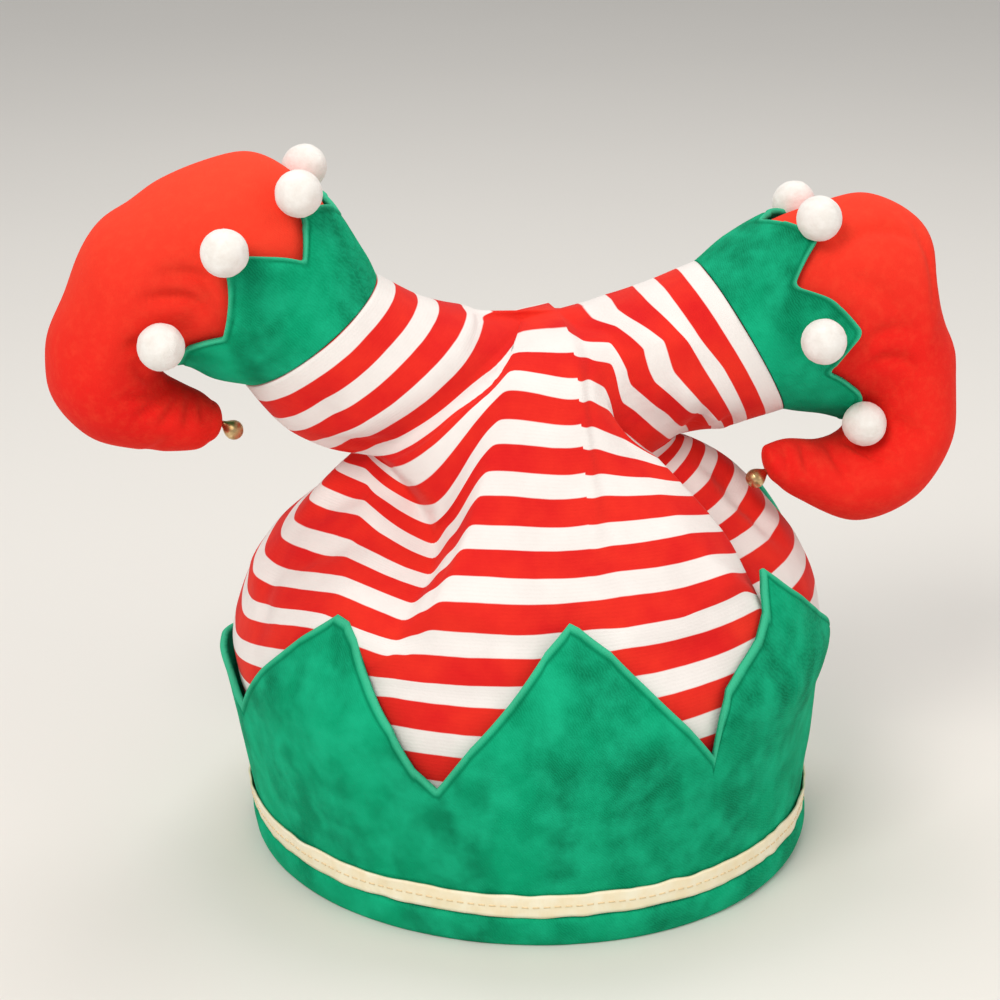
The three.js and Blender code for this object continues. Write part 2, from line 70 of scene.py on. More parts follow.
# smooth curve through a table whose first column is the key
def curveAt(rows, key):
    table = np.array(rows, float)
    index = np.interp(key, table[:, 0], np.arange(len(table)))
    return np.stack([smoothAt(table[:, c], index) for c in range(1, table.shape[1])], -1)


def lineAt(rows, key):
    table = np.array(rows, float)
    return np.interp(key, table[:, 0], table[:, 1])


def softStep(t):
    t = np.clip(t, 0, 1)
    return t * t * (3 - 2 * t)


# mean over an odd count of neighbours
def smoothed(values, count, mode):
    return np.convolve(np.pad(values, count // 2, mode=mode), np.ones(count) / count, mode="valid")


# numbers that turn a cell of a grid and a seed into a value that looks random
scramble = {"cell": (374761393, 668265263, 2147483647), "seed": 974711, "seedShift": 17.31,
            "first": 1274126177, "second": 69069, "add": 12345, "keep": 0xFFFFFF}


# repeatable cloudy noise from -1 to 1 at points, with blobs of a given size
def cloudNoise(points, size, seed):
    p = np.asarray(points, float) / size + seed * scramble["seedShift"]
    cell = np.floor(p).astype(np.int64)
    f = softStep(p - cell)
    total = np.zeros(p.shape[:-1])
    for corner in np.ndindex(2, 2, 2):
        h = np.sum((cell + corner) * scramble["cell"], axis=-1) + seed * scramble["seed"]
        h = ((h ^ (h >> 13)) * scramble["first"]) & scramble["keep"]
        h = ((h ^ (h >> 7)) * scramble["second"] + scramble["add"]) & scramble["keep"]
        w = np.prod(np.where(np.array(corner) == 1, f, 1 - f), axis=-1)
        total += w * (h / (scramble["keep"] >> 1) - 1)
    return total


# several cloud noises together: blob size, seed and share of each
def layeredNoise(points, layers):
    return sum(cloudNoise(points, size, seed) * share for size, seed, share in layers)


def gridNormals(points, flip=False):
    across = np.gradient(points, axis=1)
    along = np.gradient(points, axis=0)
    n = np.cross(across, along)
    n /= np.maximum(np.linalg.norm(n, axis=-1, keepdims=True), 1e-9)
    return -n if flip else n


creaseEnds = {"start": 0.05, "span": 0.9, "power": 0.7}      # how a crease fades towards its ends


# the two coordinates along a crease from its first to its last place
def creasePath(first, last, steps):
    share = np.linspace(0, 1, steps)
    return [a + (b - a) * share for a, b in zip(first, last)]


# how deep points lie in creases: each is a line of points with a depth and a width
def creaseDepth(points, creases):
    sink = np.zeros(points.shape[:-1])
    for line, depth, width in creases:
        best = np.zeros_like(sink)
        for share, p in zip(np.linspace(0, 1, len(line)), line):
            fade = np.sin(np.pi * (creaseEnds["start"] + creaseEnds["span"] * share)) ** creaseEnds["power"]
            d = np.linalg.norm(points - p, axis=-1) / width
            best = np.maximum(best, fade * np.exp(-d * d))
        sink += depth * best
    return sink


# one mesh from point grids (rows x columns x 3); rows of equal points close at a tip
def gridMesh(name, grids, attributes=()):
    places, faces, uvs = [], [], []
    values = {key: [] for key in attributes}
    start = 0
    for grid in grids:
        points = grid["points"]
        rows, columns = points.shape[:2]
        ids = start + np.arange(rows * columns).reshape(rows, columns)
        quads = np.stack([ids[:-1, :-1], ids[:-1, 1:], ids[1:, 1:], ids[1:, :-1]], -1).reshape(-1, 4)
        if grid.get("flip"):
            quads = quads[:, ::-1]
        places.append(points.reshape(-1, 3))
        uv = grid.get("uv")
        uvs.append(np.zeros((rows * columns, 2)) if uv is None else uv.reshape(-1, 2))
        for key in attributes:
            value = grid.get(key, np.zeros((rows, columns)))
            values[key].append(np.broadcast_to(value, (rows, columns)).reshape(-1))
        faces.append(quads)
        start += rows * columns
    places = (np.concatenate(places) + hatAxis) * mm
    faces = np.concatenate(faces)
    uvs = np.concatenate(uvs)
    mesh = bpy.data.meshes.new(name)
    mesh.from_pydata(places.tolist(), [], faces.tolist())
    layer = mesh.uv_layers.new(name="cloth")
    loopVertex = np.zeros(len(mesh.loops), np.int32)
    mesh.loops.foreach_get("vertex_index", loopVertex)
    layer.data.foreach_set("uv", uvs[loopVertex].astype(np.float32).ravel())
    for key in attributes:
        attribute = mesh.attributes.new(key, "FLOAT", "POINT")
        attribute.data.foreach_set("value", np.concatenate(values[key]).astype(np.float32))
    return weld(mesh, name)


def weld(mesh, name, distance=0.1 * mm):
    work = bmesh.new()
    work.from_mesh(mesh)
    bmesh.ops.remove_doubles(work, verts=work.verts, dist=distance)
    bmesh.ops.dissolve_degenerate(work, edges=work.edges, dist=1e-7)
    for face in work.faces:
        face.smooth = True
    work.to_mesh(mesh)
    work.free()
    piece = bpy.data.objects.new(name, mesh)
    bpy.context.scene.collection.objects.link(piece)
    return piece


# Materials

def startMaterial(name, roughness, sheen=0.0, sheenTint=(1, 1, 1), sheenSpread=0.45, metallic=0.0,
                  gloss=0.12):
    material = bpy.data.materials.new(name)
    material.use_nodes = True
    tree = material.node_tree
    shader = tree.nodes["Principled BSDF"]
    shader.inputs["Roughness"].default_value = roughness
    shader.inputs["Metallic"].default_value = metallic
    shader.inputs["Specular IOR Level"].default_value = gloss
    shader.inputs["Sheen Weight"].default_value = sheen
    shader.inputs["Sheen Roughness"].default_value = sheenSpread
    shader.inputs["Sheen Tint"].default_value = (*sheenTint, 1)
    return material, tree, shader


# a new node with its settings, and with values or links at its inputs
def addNode(tree, kind, values=None, **settings):
    node = tree.nodes.new(kind)
    for key, value in settings.items():
        setattr(node, key, value)
    for key, value in (values or {}).items():
        if isinstance(value, bpy.types.NodeSocket):
            tree.links.new(value, node.inputs[key])
        else:
            node.inputs[key].default_value = value
    return node


def addMath(tree, operation, first, second=0.0, third=0.0):
    return addNode(tree, "ShaderNodeMath", {0: first, 1: second, 2: third}, operation=operation).outputs[0]


def addNoise(tree, place, scale, detail=3.0, roughness=0.55):
    values = {"Vector": place, "Scale": scale, "Detail": detail, "Roughness": roughness}
    return addNode(tree, "ShaderNodeTexNoise", values).outputs["Fac"]


def addWave(tree, place, scale, warp, more=None, **settings):
    values = {"Vector": place, "Scale": scale, "Distortion": warp, **(more or {})}
    return addNode(tree, "ShaderNodeTexWave", values, **settings).outputs["Fac"]


def addMix(tree, factor, first, second):
    first, second = (c if isinstance(c, bpy.types.NodeSocket) else (*c, 1) for c in (first, second))
    return addNode(tree, "ShaderNodeMix", {0: factor, 6: first, 7: second}, data_type="RGBA").outputs[2]


def addRange(tree, value, low, high, toLow=0.0, toHigh=1.0):
    values = {"Value": value, "From Min": low, "From Max": high, "To Min": toLow, "To Max": toHigh}
    return addNode(tree, "ShaderNodeMapRange", values).outputs[0]


# soft patches from 0 to 1
def addCloud(tree, place, scale, span, detail=3.0, roughness=0.55):
    return addRange(tree, addNoise(tree, place, scale, detail, roughness), *span)


def addBump(tree, height, strength, distance, normal=None):
    values = {"Height": height, "Strength": strength, "Distance": distance}
    if normal is not None:
        values["Normal"] = normal
    return addNode(tree, "ShaderNodeBump", values).outputs["Normal"]


def addMapping(tree, place, key, value):
    return addNode(tree, "ShaderNodeMapping", {"Vector": place, key: value}).outputs[0]


def objectPlace(tree):
    return addNode(tree, "ShaderNodeTexCoord").outputs["Object"]


def clothPlace(tree):
    return addNode(tree, "ShaderNodeUVMap", uv_map="cloth").outputs[0]


# lay a share of one more colour over the pile, where a mask says so
def addOver(tree, pile, mask, share, colour):
    return addMix(tree, addMath(tree, "MULTIPLY", mask, share), pile, colour)


stripedCloth = {
    "red": (0.80, 0.030, 0.016), "redDeep": (0.66, 0.012, 0.012),
    "white": (0.86, 0.83, 0.82), "whiteDeep": (0.78, 0.74, 0.73),
    "period": 17.4, "whiteWidth": 8.0, "firstWhite": 72.0, "edgeBlur": 0.18,
    "wobble": 0.8, "wobbleSize": 60.0, "cloudSize": 45.0, "cloudSpan": (0.35, 0.7),
    "napSize": 900.0, "napDepth": (0.16, 0.0006), "weaveSize": 250.0, "weaveDepth": (0.08, 0.0004),
}


def makeStripedCloth():
    look = stripedCloth
    material, tree, shader = startMaterial("stripedCloth", 0.85, 0.06, (1, 0.8, 0.75))
    place, uv = objectPlace(tree), clothPlace(tree)
    height = addNode(tree, "ShaderNodeSeparateXYZ", {0: uv}).outputs[1]
    wander = addNoise(tree, place, look["wobbleSize"], 2.0)
    wander = addMath(tree, "MULTIPLY_ADD", wander, look["wobble"], -look["wobble"] / 2)
    cloth = addMath(tree, "MULTIPLY_ADD", height, 1 / mm, wander)
    cycle = addMath(tree, "DIVIDE", addMath(tree, "SUBTRACT", cloth, look["firstWhite"]), look["period"])
    away = addMath(tree, "PINGPONG", cycle, 0.5)
    edge = look["whiteWidth"] / look["period"] / 2
    blur = look["edgeBlur"] / look["period"]
    isRed = addRange(tree, away, edge - blur, edge + blur)
    cloud = addCloud(tree, place, look["cloudSize"], look["cloudSpan"], 4.0)
    red = addMix(tree, cloud, look["redDeep"], look["red"])
    white = addMix(tree, cloud, look["whiteDeep"], look["white"])
    tree.links.new(addMix(tree, isRed, white, red), shader.inputs["Base Color"])
    nap = addBump(tree, addNoise(tree, place, look["napSize"]), *look["napDepth"])
    weave = addWave(tree, uv, look["weaveSize"], 1.0, bands_direction="Y")
    tree.links.new(addBump(tree, weave, *look["weaveDepth"], nap), shader.inputs["Normal"])
    return material


greenVelvet = {
    "dark": (0.001, 0.165, 0.072), "mid": (0.002, 0.33, 0.155), "light": (0.012, 0.50, 0.265),
    # painted highlight: the rim colour is laid along the turned edges; painted shade: the groove's share of
    # the dark colour
    "rim": (0.06, 0.53, 0.31), "rimHighlightShare": 0.75, "grooveShadeShare": 0.7,
    "mottleSize": 42.0, "mottleScale": (1.0, 1.0, 0.5), "mottleSpan": (0.36, 0.62),
    "patchSize": 95.0, "patchSpan": (0.38, 0.68), "patchShare": 0.6,
    "ribSize": 420.0, "ribTurn": (0.0, 0.7, 0.35), "ribWarp": 7.0, "ribShare": 0.22,
    "ribDepth": (0.22, 0.0006),
    "pileSize": 1400.0, "pileDepth": (0.3, 0.0007),
}


def makeGreenVelvet():
    look = greenVelvet
    material, tree, shader = startMaterial("greenVelvet", 0.8, 0.16, (0.03, 0.95, 0.52), gloss=0.05)
    place = objectPlace(tree)
    tall = addMapping(tree, place, "Scale", look["mottleScale"])
    mottle = addCloud(tree, tall, look["mottleSize"], look["mottleSpan"], 3.0, 0.5)
    patch = addCloud(tree, place, look["patchSize"], look["patchSpan"], 3.0, 0.5)
    pile = addMix(tree, mottle, look["dark"], look["mid"])
    pile = addOver(tree, pile, patch, look["patchShare"], look["light"])
    turned = addMapping(tree, place, "Rotation", look["ribTurn"])
    ribs = addWave(tree, turned, look["ribSize"], look["ribWarp"], {"Detail": 2.0, "Detail Scale": 1.2})
    pile = addOver(tree, pile, ribs, look["ribShare"], look["light"])
    # painted highlight: the velvet is painted paler along its turned edges
    rim = addNode(tree, "ShaderNodeAttribute", attribute_name="rim").outputs["Fac"]
    pile = addOver(tree, pile, rim, look["rimHighlightShare"], look["rim"])
    # painted shade: the velvet is painted darker in its sewn groove
    groove = addNode(tree, "ShaderNodeAttribute", attribute_name="groove").outputs["Fac"]
    pile = addOver(tree, pile, groove, look["grooveShadeShare"], look["dark"])
    tree.links.new(pile, shader.inputs["Base Color"])
    nap = addBump(tree, addNoise(tree, place, look["pileSize"], 2.0), *look["pileDepth"])
    tree.links.new(addBump(tree, ribs, *look["ribDepth"], nap), shader.inputs["Normal"])
    return material


redPlush = {
    "deep": (0.74, 0.010, 0.010), "red": (0.86, 0.026, 0.016), "warm": (0.93, 0.085, 0.038),
    "cloudSize": 24.0, "cloudSpan": (0.15, 0.7),
    "speckSize": 240.0, "speckSpan": (0.45, 0.75), "speckShare": 0.25,
    # painted light: from the first height up to the second, the shoes are painted warmer and lighter, as if
    # lit from above
    "paintedLightFrom": 0.178, "paintedLightTo": 0.262, "paintedLightShare": 0.8,
    "weaveSize": 620.0, "weaveTurn": (0.0, 0.9, 0.2), "weaveWarp": 4.0, "weaveDepth": (0.1, 0.0005),
    "napSize": 1300.0, "napDepth": (0.22, 0.0006),
}


def makeRedPlush():
    look = redPlush
    material, tree, shader = startMaterial("redPlush", 0.82, 0.14, (1, 0.25, 0.15), gloss=0.07)
    place = objectPlace(tree)
    cloud = addCloud(tree, place, look["cloudSize"], look["cloudSpan"], 2.0)
    pile = addMix(tree, cloud, look["deep"], look["red"])
    speck = addCloud(tree, place, look["speckSize"], look["speckSpan"], 3.0, 0.7)
    pile = addOver(tree, pile, speck, look["speckShare"], look["warm"])
    # painted light from above: the upper part of each shoe is mixed towards the warm colour by height
    height = addNode(tree, "ShaderNodeSeparateXYZ", {0: place}).outputs[2]
    paintedTopLight = addRange(tree, height, look["paintedLightFrom"], look["paintedLightTo"], 0.0, look["paintedLightShare"])
    tree.links.new(addMix(tree, paintedTopLight, pile, look["warm"]), shader.inputs["Base Color"])
    turned = addMapping(tree, place, "Rotation", look["weaveTurn"])
    weave = addWave(tree, turned, look["weaveSize"], look["weaveWarp"], {"Detail": 2.0})
    nap = addBump(tree, addNoise(tree, place, look["napSize"], 2.0), *look["napDepth"])
    tree.links.new(addBump(tree, weave, *look["weaveDepth"], nap), shader.inputs["Normal"])
    return material


goldSatin = {"pale": (1.0, 0.93, 0.74), "deep": (0.94, 0.80, 0.54), "grain": 0.4, "cloudSize": 140.0,
             "cloudSpan": (0.3, 0.7), "threadSize": 700.0, "threadWarp": 1.5, "threadDepth": (0.15, 0.0004)}


def makeGoldSatin():
    look = goldSatin
    material, tree, shader = startMaterial("goldSatin", 0.42, 0.1, (1, 0.95, 0.8), gloss=0.4)
    shader.inputs["Anisotropic"].default_value = look["grain"]
    cloud = addCloud(tree, objectPlace(tree), look["cloudSize"], look["cloudSpan"])
    tree.links.new(addMix(tree, cloud, look["deep"], look["pale"]), shader.inputs["Base Color"])
    thread = addWave(tree, clothPlace(tree), look["threadSize"], look["threadWarp"], bands_direction="X")
    tree.links.new(addBump(tree, thread, *look["threadDepth"]), shader.inputs["Normal"])
    return material


ribbonThread = {"deep": (0.74, 0.55, 0.30), "pale": (0.92, 0.76, 0.50), "twistSize": 2500.0}


def makeThread():
    look = ribbonThread
    material, tree, shader = startMaterial("ribbonThread", 0.6, 0.1)
    twist = addNoise(tree, objectPlace(tree), look["twistSize"], 2.0)
    tree.links.new(addMix(tree, twist, look["deep"], look["pale"]), shader.inputs["Base Color"])
    return material


whiteFoam = {"grey": (0.80, 0.77, 0.74), "white": (0.90, 0.89, 0.875), "cloudSize": 260.0,
             "cloudSpan": (0.3, 0.7), "fuzzSize": 1500.0, "fuzzDepth": (0.35, 0.0008)}


def makeWhiteFoam():
    look = whiteFoam
    material, tree, shader = startMaterial("whiteFoam", 0.9, 0.25)
    place = objectPlace(tree)
    cloud = addCloud(tree, place, look["cloudSize"], look["cloudSpan"], 4.0)
    tree.links.new(addMix(tree, cloud, look["grey"], look["white"]), shader.inputs["Base Color"])
    fuzz = addNoise(tree, place, look["fuzzSize"], 3.0, 0.7)
    tree.links.new(addBump(tree, fuzz, *look["fuzzDepth"]), shader.inputs["Normal"])
    return material


brass = {"dull": (0.42, 0.27, 0.12), "bright": (0.76, 0.56, 0.30), "tarnishSize": 320.0,
         "tarnishSpan": (0.35, 0.7), "dullRoughness": 0.42, "brightRoughness": 0.24}


def makeBrass():
    look = brass
    material, tree, shader = startMaterial("brass", 0.3, metallic=1.0, gloss=0.5)
    shine = addCloud(tree, objectPlace(tree), look["tarnishSize"], look["tarnishSpan"], 4.0)
    tree.links.new(addMix(tree, shine, look["dull"], look["bright"]), shader.inputs["Base Color"])
    rough = addRange(tree, shine, 0.0, 1.0, look["dullRoughness"], look["brightRoughness"])
    tree.links.new(rough, shader.inputs["Roughness"])
    return material


stripedClothLook = makeStripedCloth()
greenVelvetLook = makeGreenVelvet()
redPlushLook = makeRedPlush()
goldSatinLook = makeGoldSatin()
threadLook = makeThread()
whiteFoamLook = makeWhiteFoam()
brassLook = makeBrass()
print("materials ready")


def settle(piece, material, slot, *nodes):
    piece.data.materials.clear()
    piece.data.materials.append(material)
    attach(piece, "root")
    if nodes:
        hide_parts(*nodes)


# Trousers: the cloth is lofted along its stripes, from the rim up the crown and out along each leg

# cloth is the height along the cloth in mm, so one stripe follows one section
crownSections = [
    {"cloth": 0.0, "rise": 1.5, "depth": 96, "half": 96, "left": (-98, 1.5), "right": (92, 1.5)},
    {"cloth": 33.6, "rise": 35, "depth": 100, "half": 100, "left": (-103.5, 35), "right": (93.5, 35)},
    {"cloth": 58.8, "rise": 60, "depth": 103, "half": 103, "left": (-108, 59), "right": (95.5, 61)},
    {"cloth": 75.7, "rise": 77, "depth": 103, "half": 103, "left": (-110.5, 74), "right": (100.5, 79)},
    {"cloth": 93.4, "rise": 93, "depth": 95.5, "half": 95.5, "left": (-108, 88), "right": (98.5, 92)},
    {"cloth": 117.0, "rise": 112, "depth": 82, "half": 82, "left": (-98, 104), "right": (92, 110)},
    {"cloth": 142.2, "rise": 132, "depth": 66, "half": 66.5, "left": (-84, 121), "right": (78, 127)},
    {"cloth": 164.5, "rise": 150, "depth": 52, "half": 54, "left": (-72, 135), "right": (60, 138)},
    {"cloth": 184.7, "rise": 166, "depth": 41, "half": 46, "left": (-65, 142), "right": (50, 141)},
    {"cloth": 202.0, "rise": 179, "depth": 32, "half": 41.5, "left": (-65, 144), "right": (49, 142)},
    {"cloth": 214.0, "rise": 187.5, "depth": 19, "half": 38.5, "left": (-67, 145), "right": (50, 142)},
    {"cloth": 219.5, "rise": 190, "depth": 0, "half": 36.5, "left": (-70, 146.5), "right": (54, 142.5)},
]
legSections = {
    "left": [
        {"cloth": 228.6, "top": (-21, 191.5), "under": (-80, 148.5), "half": 34},
        {"cloth": 246.0, "top": (-39.5, 196), "under": (-92, 156.5), "half": 31.5},
        {"cloth": 267.4, "top": (-56.5, 205.5), "under": (-102.7, 170.7), "half": 30},
    ],
    "right": [
        {"cloth": 228.6, "top": (20, 192), "under": (64, 145), "half": 33.5},
        {"cloth": 246.0, "top": (38, 197), "under": (70, 147), "half": 31},
        {"cloth": 267.4, "top": (56, 204), "under": (86, 151), "half": 30},
    ],
}
crotch = len(crownSections) - 1
ceilingSection = 7                   # the head hollow ends at this section

# fold lines of the front: cloth height, then x, y, z of the line where that stripe crosses it
foldLines = {
    "left": {
        "ridge": [(89.4, -64, -78, 89), (106.8, -55, -82.5, 103.6), (124.2, -45, -73, 120),
                  (141.6, -36.5, -62, 132.7), (159.0, -29, -51.5, 147), (176.4, -22.7, -41, 160.7),
                  (193.8, -17.5, -31.5, 175.7), (211.2, -13, -18.5, 183)],
        "lip": [(172.0, -43, -41, 130.5), (178.0, -43.5, -40.5, 134.5), (184.0, -46, -38, 138.5),
                (192.0, -51, -33, 142.5), (201.0, -57, -27, 148)],
        "valley": [(106.8, -65, -76, 101.5), (124.2, -57, -66, 110), (141.6, -48.4, -55, 115),
                   (159.0, -44.2, -43, 120.3), (170.0, -44, -35, 125), (178.0, -45.5, -27, 129.5),
                   (186.0, -48.5, -21, 133.5), (193.8, -52, -16, 138), (203.0, -58, -10, 143.5)],
        "hip": [(106.8, -84, -53.5, 103.5), (124.2, -76, -48, 113), (141.6, -72.5, -32.5, 120.5),
                (159.0, -65.5, -21, 130), (176.4, -63, -11, 137.5), (193.8, -63, -4, 146)],
        "side": [(72.0, -108.5, 0, 64), (89.4, -110, 0, 76), (106.8, -108, 0, 89.4),
                 (124.2, -100, 0, 104), (141.6, -89.5, 0, 116.3), (159.0, -79.5, 0, 129),
                 (176.4, -71, 0, 138.5)],
    },
    "right": {
        "pleat": [(106.8, 12.5, -86.5, 104), (124.2, 12.6, -75.5, 118), (141.6, 12.6, -64, 131),
                  (159.0, 12.2, -53, 145), (176.4, 11, -43.5, 158), (193.8, 11, -34.5, 171.5),
                  (206.0, 12.5, -27.5, 179.5)],
        "ridge": [(98.0, 66, -71.5, 101), (106.8, 60, -77, 108.8), (124.2, 46.2, -71, 120.5),
                  (141.6, 35.6, -62, 132), (159.0, 28.5, -51.5, 142.6), (176.4, 22.1, -41.5, 153),
                  (193.8, 15.7, -32.5, 168), (206.0, 19, -27.5, 177.5), (211.2, 20, -26, 181.5),
                  (219.6, 24, -25, 185.5), (228.6, 32.5, -26.5, 186), (237.0, 42.5, -28.5, 184)],
        "shelf": [(193.8, 21.6, -27, 153), (203.0, 22.6, -29.5, 160.8), (211.2, 24.7, -30.5, 168),
                  (219.6, 29.8, -30.5, 171.3), (228.6, 37, -30.5, 173.7), (237.0, 45.6, -30.5, 175.7),
                  (246.0, 55.1, -29.5, 173.8)],
        "valley": [(98.0, 71, -62, 96), (106.8, 62, -61, 104), (124.2, 46, -53, 114),
                   (141.6, 40, -42, 120.5), (159.0, 35, -32, 127.5), (176.4, 34, -24, 132.5),
                   (193.8, 36, -15, 139), (211.2, 49, -4, 144)],
        "side": [(72.0, 102.5, 0, 63), (89.4, 100.5, 0, 86), (106.8, 94, 0, 103.5), (124.2, 84, 0, 116.5),
                 (141.6, 73, 0, 128.5), (159.0, 62, 0, 136.5), (176.4, 54, 0, 141)],
    },
}
# mm of cloth over which a line dies out below and above
foldFade = {"ridge": (45.0, 14.0), "lip": (8.0, 8.0), "valley": (20.0, 9.0), "hip": (40.0, 18.0),
            "pleat": (40.0, 16.0), "side": (50.0, 26.0), "shelf": (14.0, 16.0)}
# how the cloth comes to a line: rounded (1) or straight (0)
foldEase = {"left": {"ridge": 0.6, "lip": 0.5, "valley": 0.3, "hip": 0.2, "side": 0.6},
            "right": {"pleat": 0.9, "ridge": 0.25, "shelf": 0.3, "valley": 0.2, "side": 0.6}}
tuckWay = 0.035                      # share of the way from the lip back under to the valley
leastWay = 0.012                     # lines of one row keep at least this far apart
lineSearch = {"from": 0.01, "to": 0.49, "steps": 241, "smoothing": 9}
# how far the centre seam and the legs' top lines stand to the right, along the cloth
crownSeamShift = [(100, 0), (117, 0.5), (142, 3.5), (165, 5), (185, 5.5), (202, 6), (219.5, 6)]
seamShift = {"left": crownSeamShift + [(224.6, -5), (230, -1), (238, 0)],
             "right": crownSeamShift + [(224.6, 5), (230, 1), (238, 0)]}
# how far the cloth may stand out at each height, so that it stays inside the band
bandRoom = [(50, 0.0), (72, 0.0), (90, 0.5), (108, 2.0), (119, 6), (140, 40)]
backShare, backEase = 0.55, 0.9      # the back's folds are this much of the front's, and this rounded
crotchBridge = {"from": 208.0, "to": 232.0, "seamReach": 0.17, "slopeRows": 3}

trouserMesh = {"rowStep": 1.5, "frontColumns": 104, "backColumns": 60, "wall": 2.0, "smoothing": 2,
               "fill": 0.6, "innerStep": 3, "ceilingRings": 6, "ceilingFrom": 160, "ceilingStep": 12,
               "roundLength": 0.3}
wrinkles = {"depth": 0.55, "tall": 1.6, "broad": (22, 3, 0.6), "fine": (11, 5, 0.4), "seamClear": 0.05,
            "rimFrom": 6, "rimOver": 20}
# the right half's stripes lie this many mm lower, over a stretch of the cloth
stripeSlip = {"amount": 0.9, "from": 140, "fadeIn": 30, "to": 250, "fadeOut": 25}


def sectionPlaces(side):
    legs = legSections[side]
    return {
        "cloth": [s["cloth"] for s in crownSections] + [s["cloth"] for s in legs],
        "topX": [0.0] * len(crownSections) + [s["top"][0] for s in legs],
        "topZ": [s["rise"] for s in crownSections] + [s["top"][1] for s in legs],
        "underX": [s[side][0] for s in crownSections] + [s["under"][0] for s in legs],
        "underZ": [s[side][1] for s in crownSections] + [s["under"][1] for s in legs],
        "half": [s["half"] for s in crownSections] + [s["half"] for s in legs],
    }


sectionTables = {side: sectionPlaces(side) for side in sides}
fineSections = {"cloth": 600, "crown": 150}      # steps for looking up a section
crownDepths = [s["depth"] for s in crownSections]


# plain cloth at a fractional section and a way from front seam (0) round the side to back seam (1)
def plainCloth(side, index, way):
    table = sectionTables[side]
    index, way = np.broadcast_arrays(np.asarray(index, float), np.asarray(way, float))
    depth = np.where(index < crotch, smoothAt(crownDepths, np.minimum(index, crotch)), 0)
    half = np.maximum(smoothAt(table["half"], index), depth)
    start = np.arcsin(np.clip(depth / half, 0, 1))
    turn = start + (2 * np.pi - 2 * start) * way
    reach = (np.cos(start) - np.cos(turn)) / (np.cos(start) + 1)
    topX = np.where(index <= crotch, 0, smoothAt(table["topX"], index))
    topZ = smoothAt(table["topZ"], index)
    x = topX + (smoothAt(table["underX"], index) - topX) * reach
    z = topZ + (smoothAt(table["underZ"], index) - topZ) * reach
    return np.stack([x, -half * np.sin(turn), z], -1)


# fractional section at a height along the cloth
def sectionAt(side, cloth):
    heights = sectionTables[side]["cloth"]
    fine = np.linspace(0, len(heights) - 1, fineSections["cloth"])
    return np.interp(cloth, smoothAt(heights, fine), fine)


# where a fold line runs on the plain cloth, how far it moves the cloth and how strong it is there
def foldKnot(side, line, cloth, fixedWay=None):
    rows = foldLines[side][line]
    first, last = rows[0][0], rows[-1][0]
    below, above = foldFade[line]
    strength = softStep((cloth - first + below) / below) * softStep((last + above - cloth) / above)
    held = np.clip(cloth, first, last)
    index = sectionAt(side, held)
    target = curveAt(rows, held)
    if fixedWay is None:
        ways = np.linspace(lineSearch["from"], lineSearch["to"], lineSearch["steps"])
        gap = np.linalg.norm(plainCloth(side, index[:, None], ways[None]) - target[:, None], axis=-1)
        way = smoothed(ways[np.argmin(gap, axis=1)], lineSearch["smoothing"], "edge")
    else:
        way = np.broadcast_to(fixedWay, cloth.shape)
    return way, target - plainCloth(side, index, way), strength[:, None]


# knots round each row: the way, the move there and the ease towards it
def foldKnots(side, cloth):
    ease = foldEase[side]
    seam = np.zeros((len(cloth), 3))
    seam[:, 0] = lineAt(seamShift[side], cloth)
    knots = [(np.zeros(len(cloth)), seam, 1.0)]
    for name in ease:
        fixedWay = 0.5 if name == "side" else None
        if name == "lip":
            valleyWay = np.maximum(foldKnot(side, "valley", cloth)[0], knots[-1][0] + tuckWay * 2)
            fixedWay = valleyWay - tuckWay
        if name == "valley" and side == "left":
            fixedWay = valleyWay
        way, move, strength = foldKnot(side, name, cloth, fixedWay)
        way = np.maximum(way, knots[-1][0] + leastWay)
        if name == "lip":
            onward = foldKnot(side, "valley", cloth, valleyWay)
            share = ((way - knots[-1][0]) / (valleyWay - knots[-1][0]))[:, None]
            plain = knots[-1][1] + (onward[1] * onward[2] - knots[-1][1]) * share
            move = plain + (move - plain) * strength
        else:
            move = move * strength
        knots.append((way, move, ease[name]))
    for way, move, _ in reversed(knots[1:-1]):
        knots.append((1 - way, move * (1, -1, 1) * backShare, backEase))
    knots.append((np.ones(len(cloth)), seam, 1.0))
    return knots


# carry the rows smoothly from the crown over the crotch into the leg, with the seam kept in place
def bridgeCrotch(points, cloth, ways):
    low, high = np.searchsorted(cloth, (crotchBridge["from"], crotchBridge["to"]))
    before, after = low - crotchBridge["slopeRows"], high + crotchBridge["slopeRows"]
    span = cloth[high] - cloth[low]
    t = ((cloth[low:high + 1] - cloth[low]) / span)[:, None, None]
    slopeLow = (points[low] - points[before]) / (cloth[low] - cloth[before]) * span
    slopeHigh = (points[after] - points[high]) / (cloth[after] - cloth[high]) * span
    bridge = hermite(points[low], slopeLow, points[high], slopeHigh, t)
    for column, away in ((0, ways), (-1, 1 - ways)):
        pull = softStep(1 - away / crotchBridge["seamReach"])[None, :, None]
        bridge = bridge + (points[low:high + 1, column] - bridge[:, column])[:, None] * pull
    points[low:high + 1] = bridge
    return points


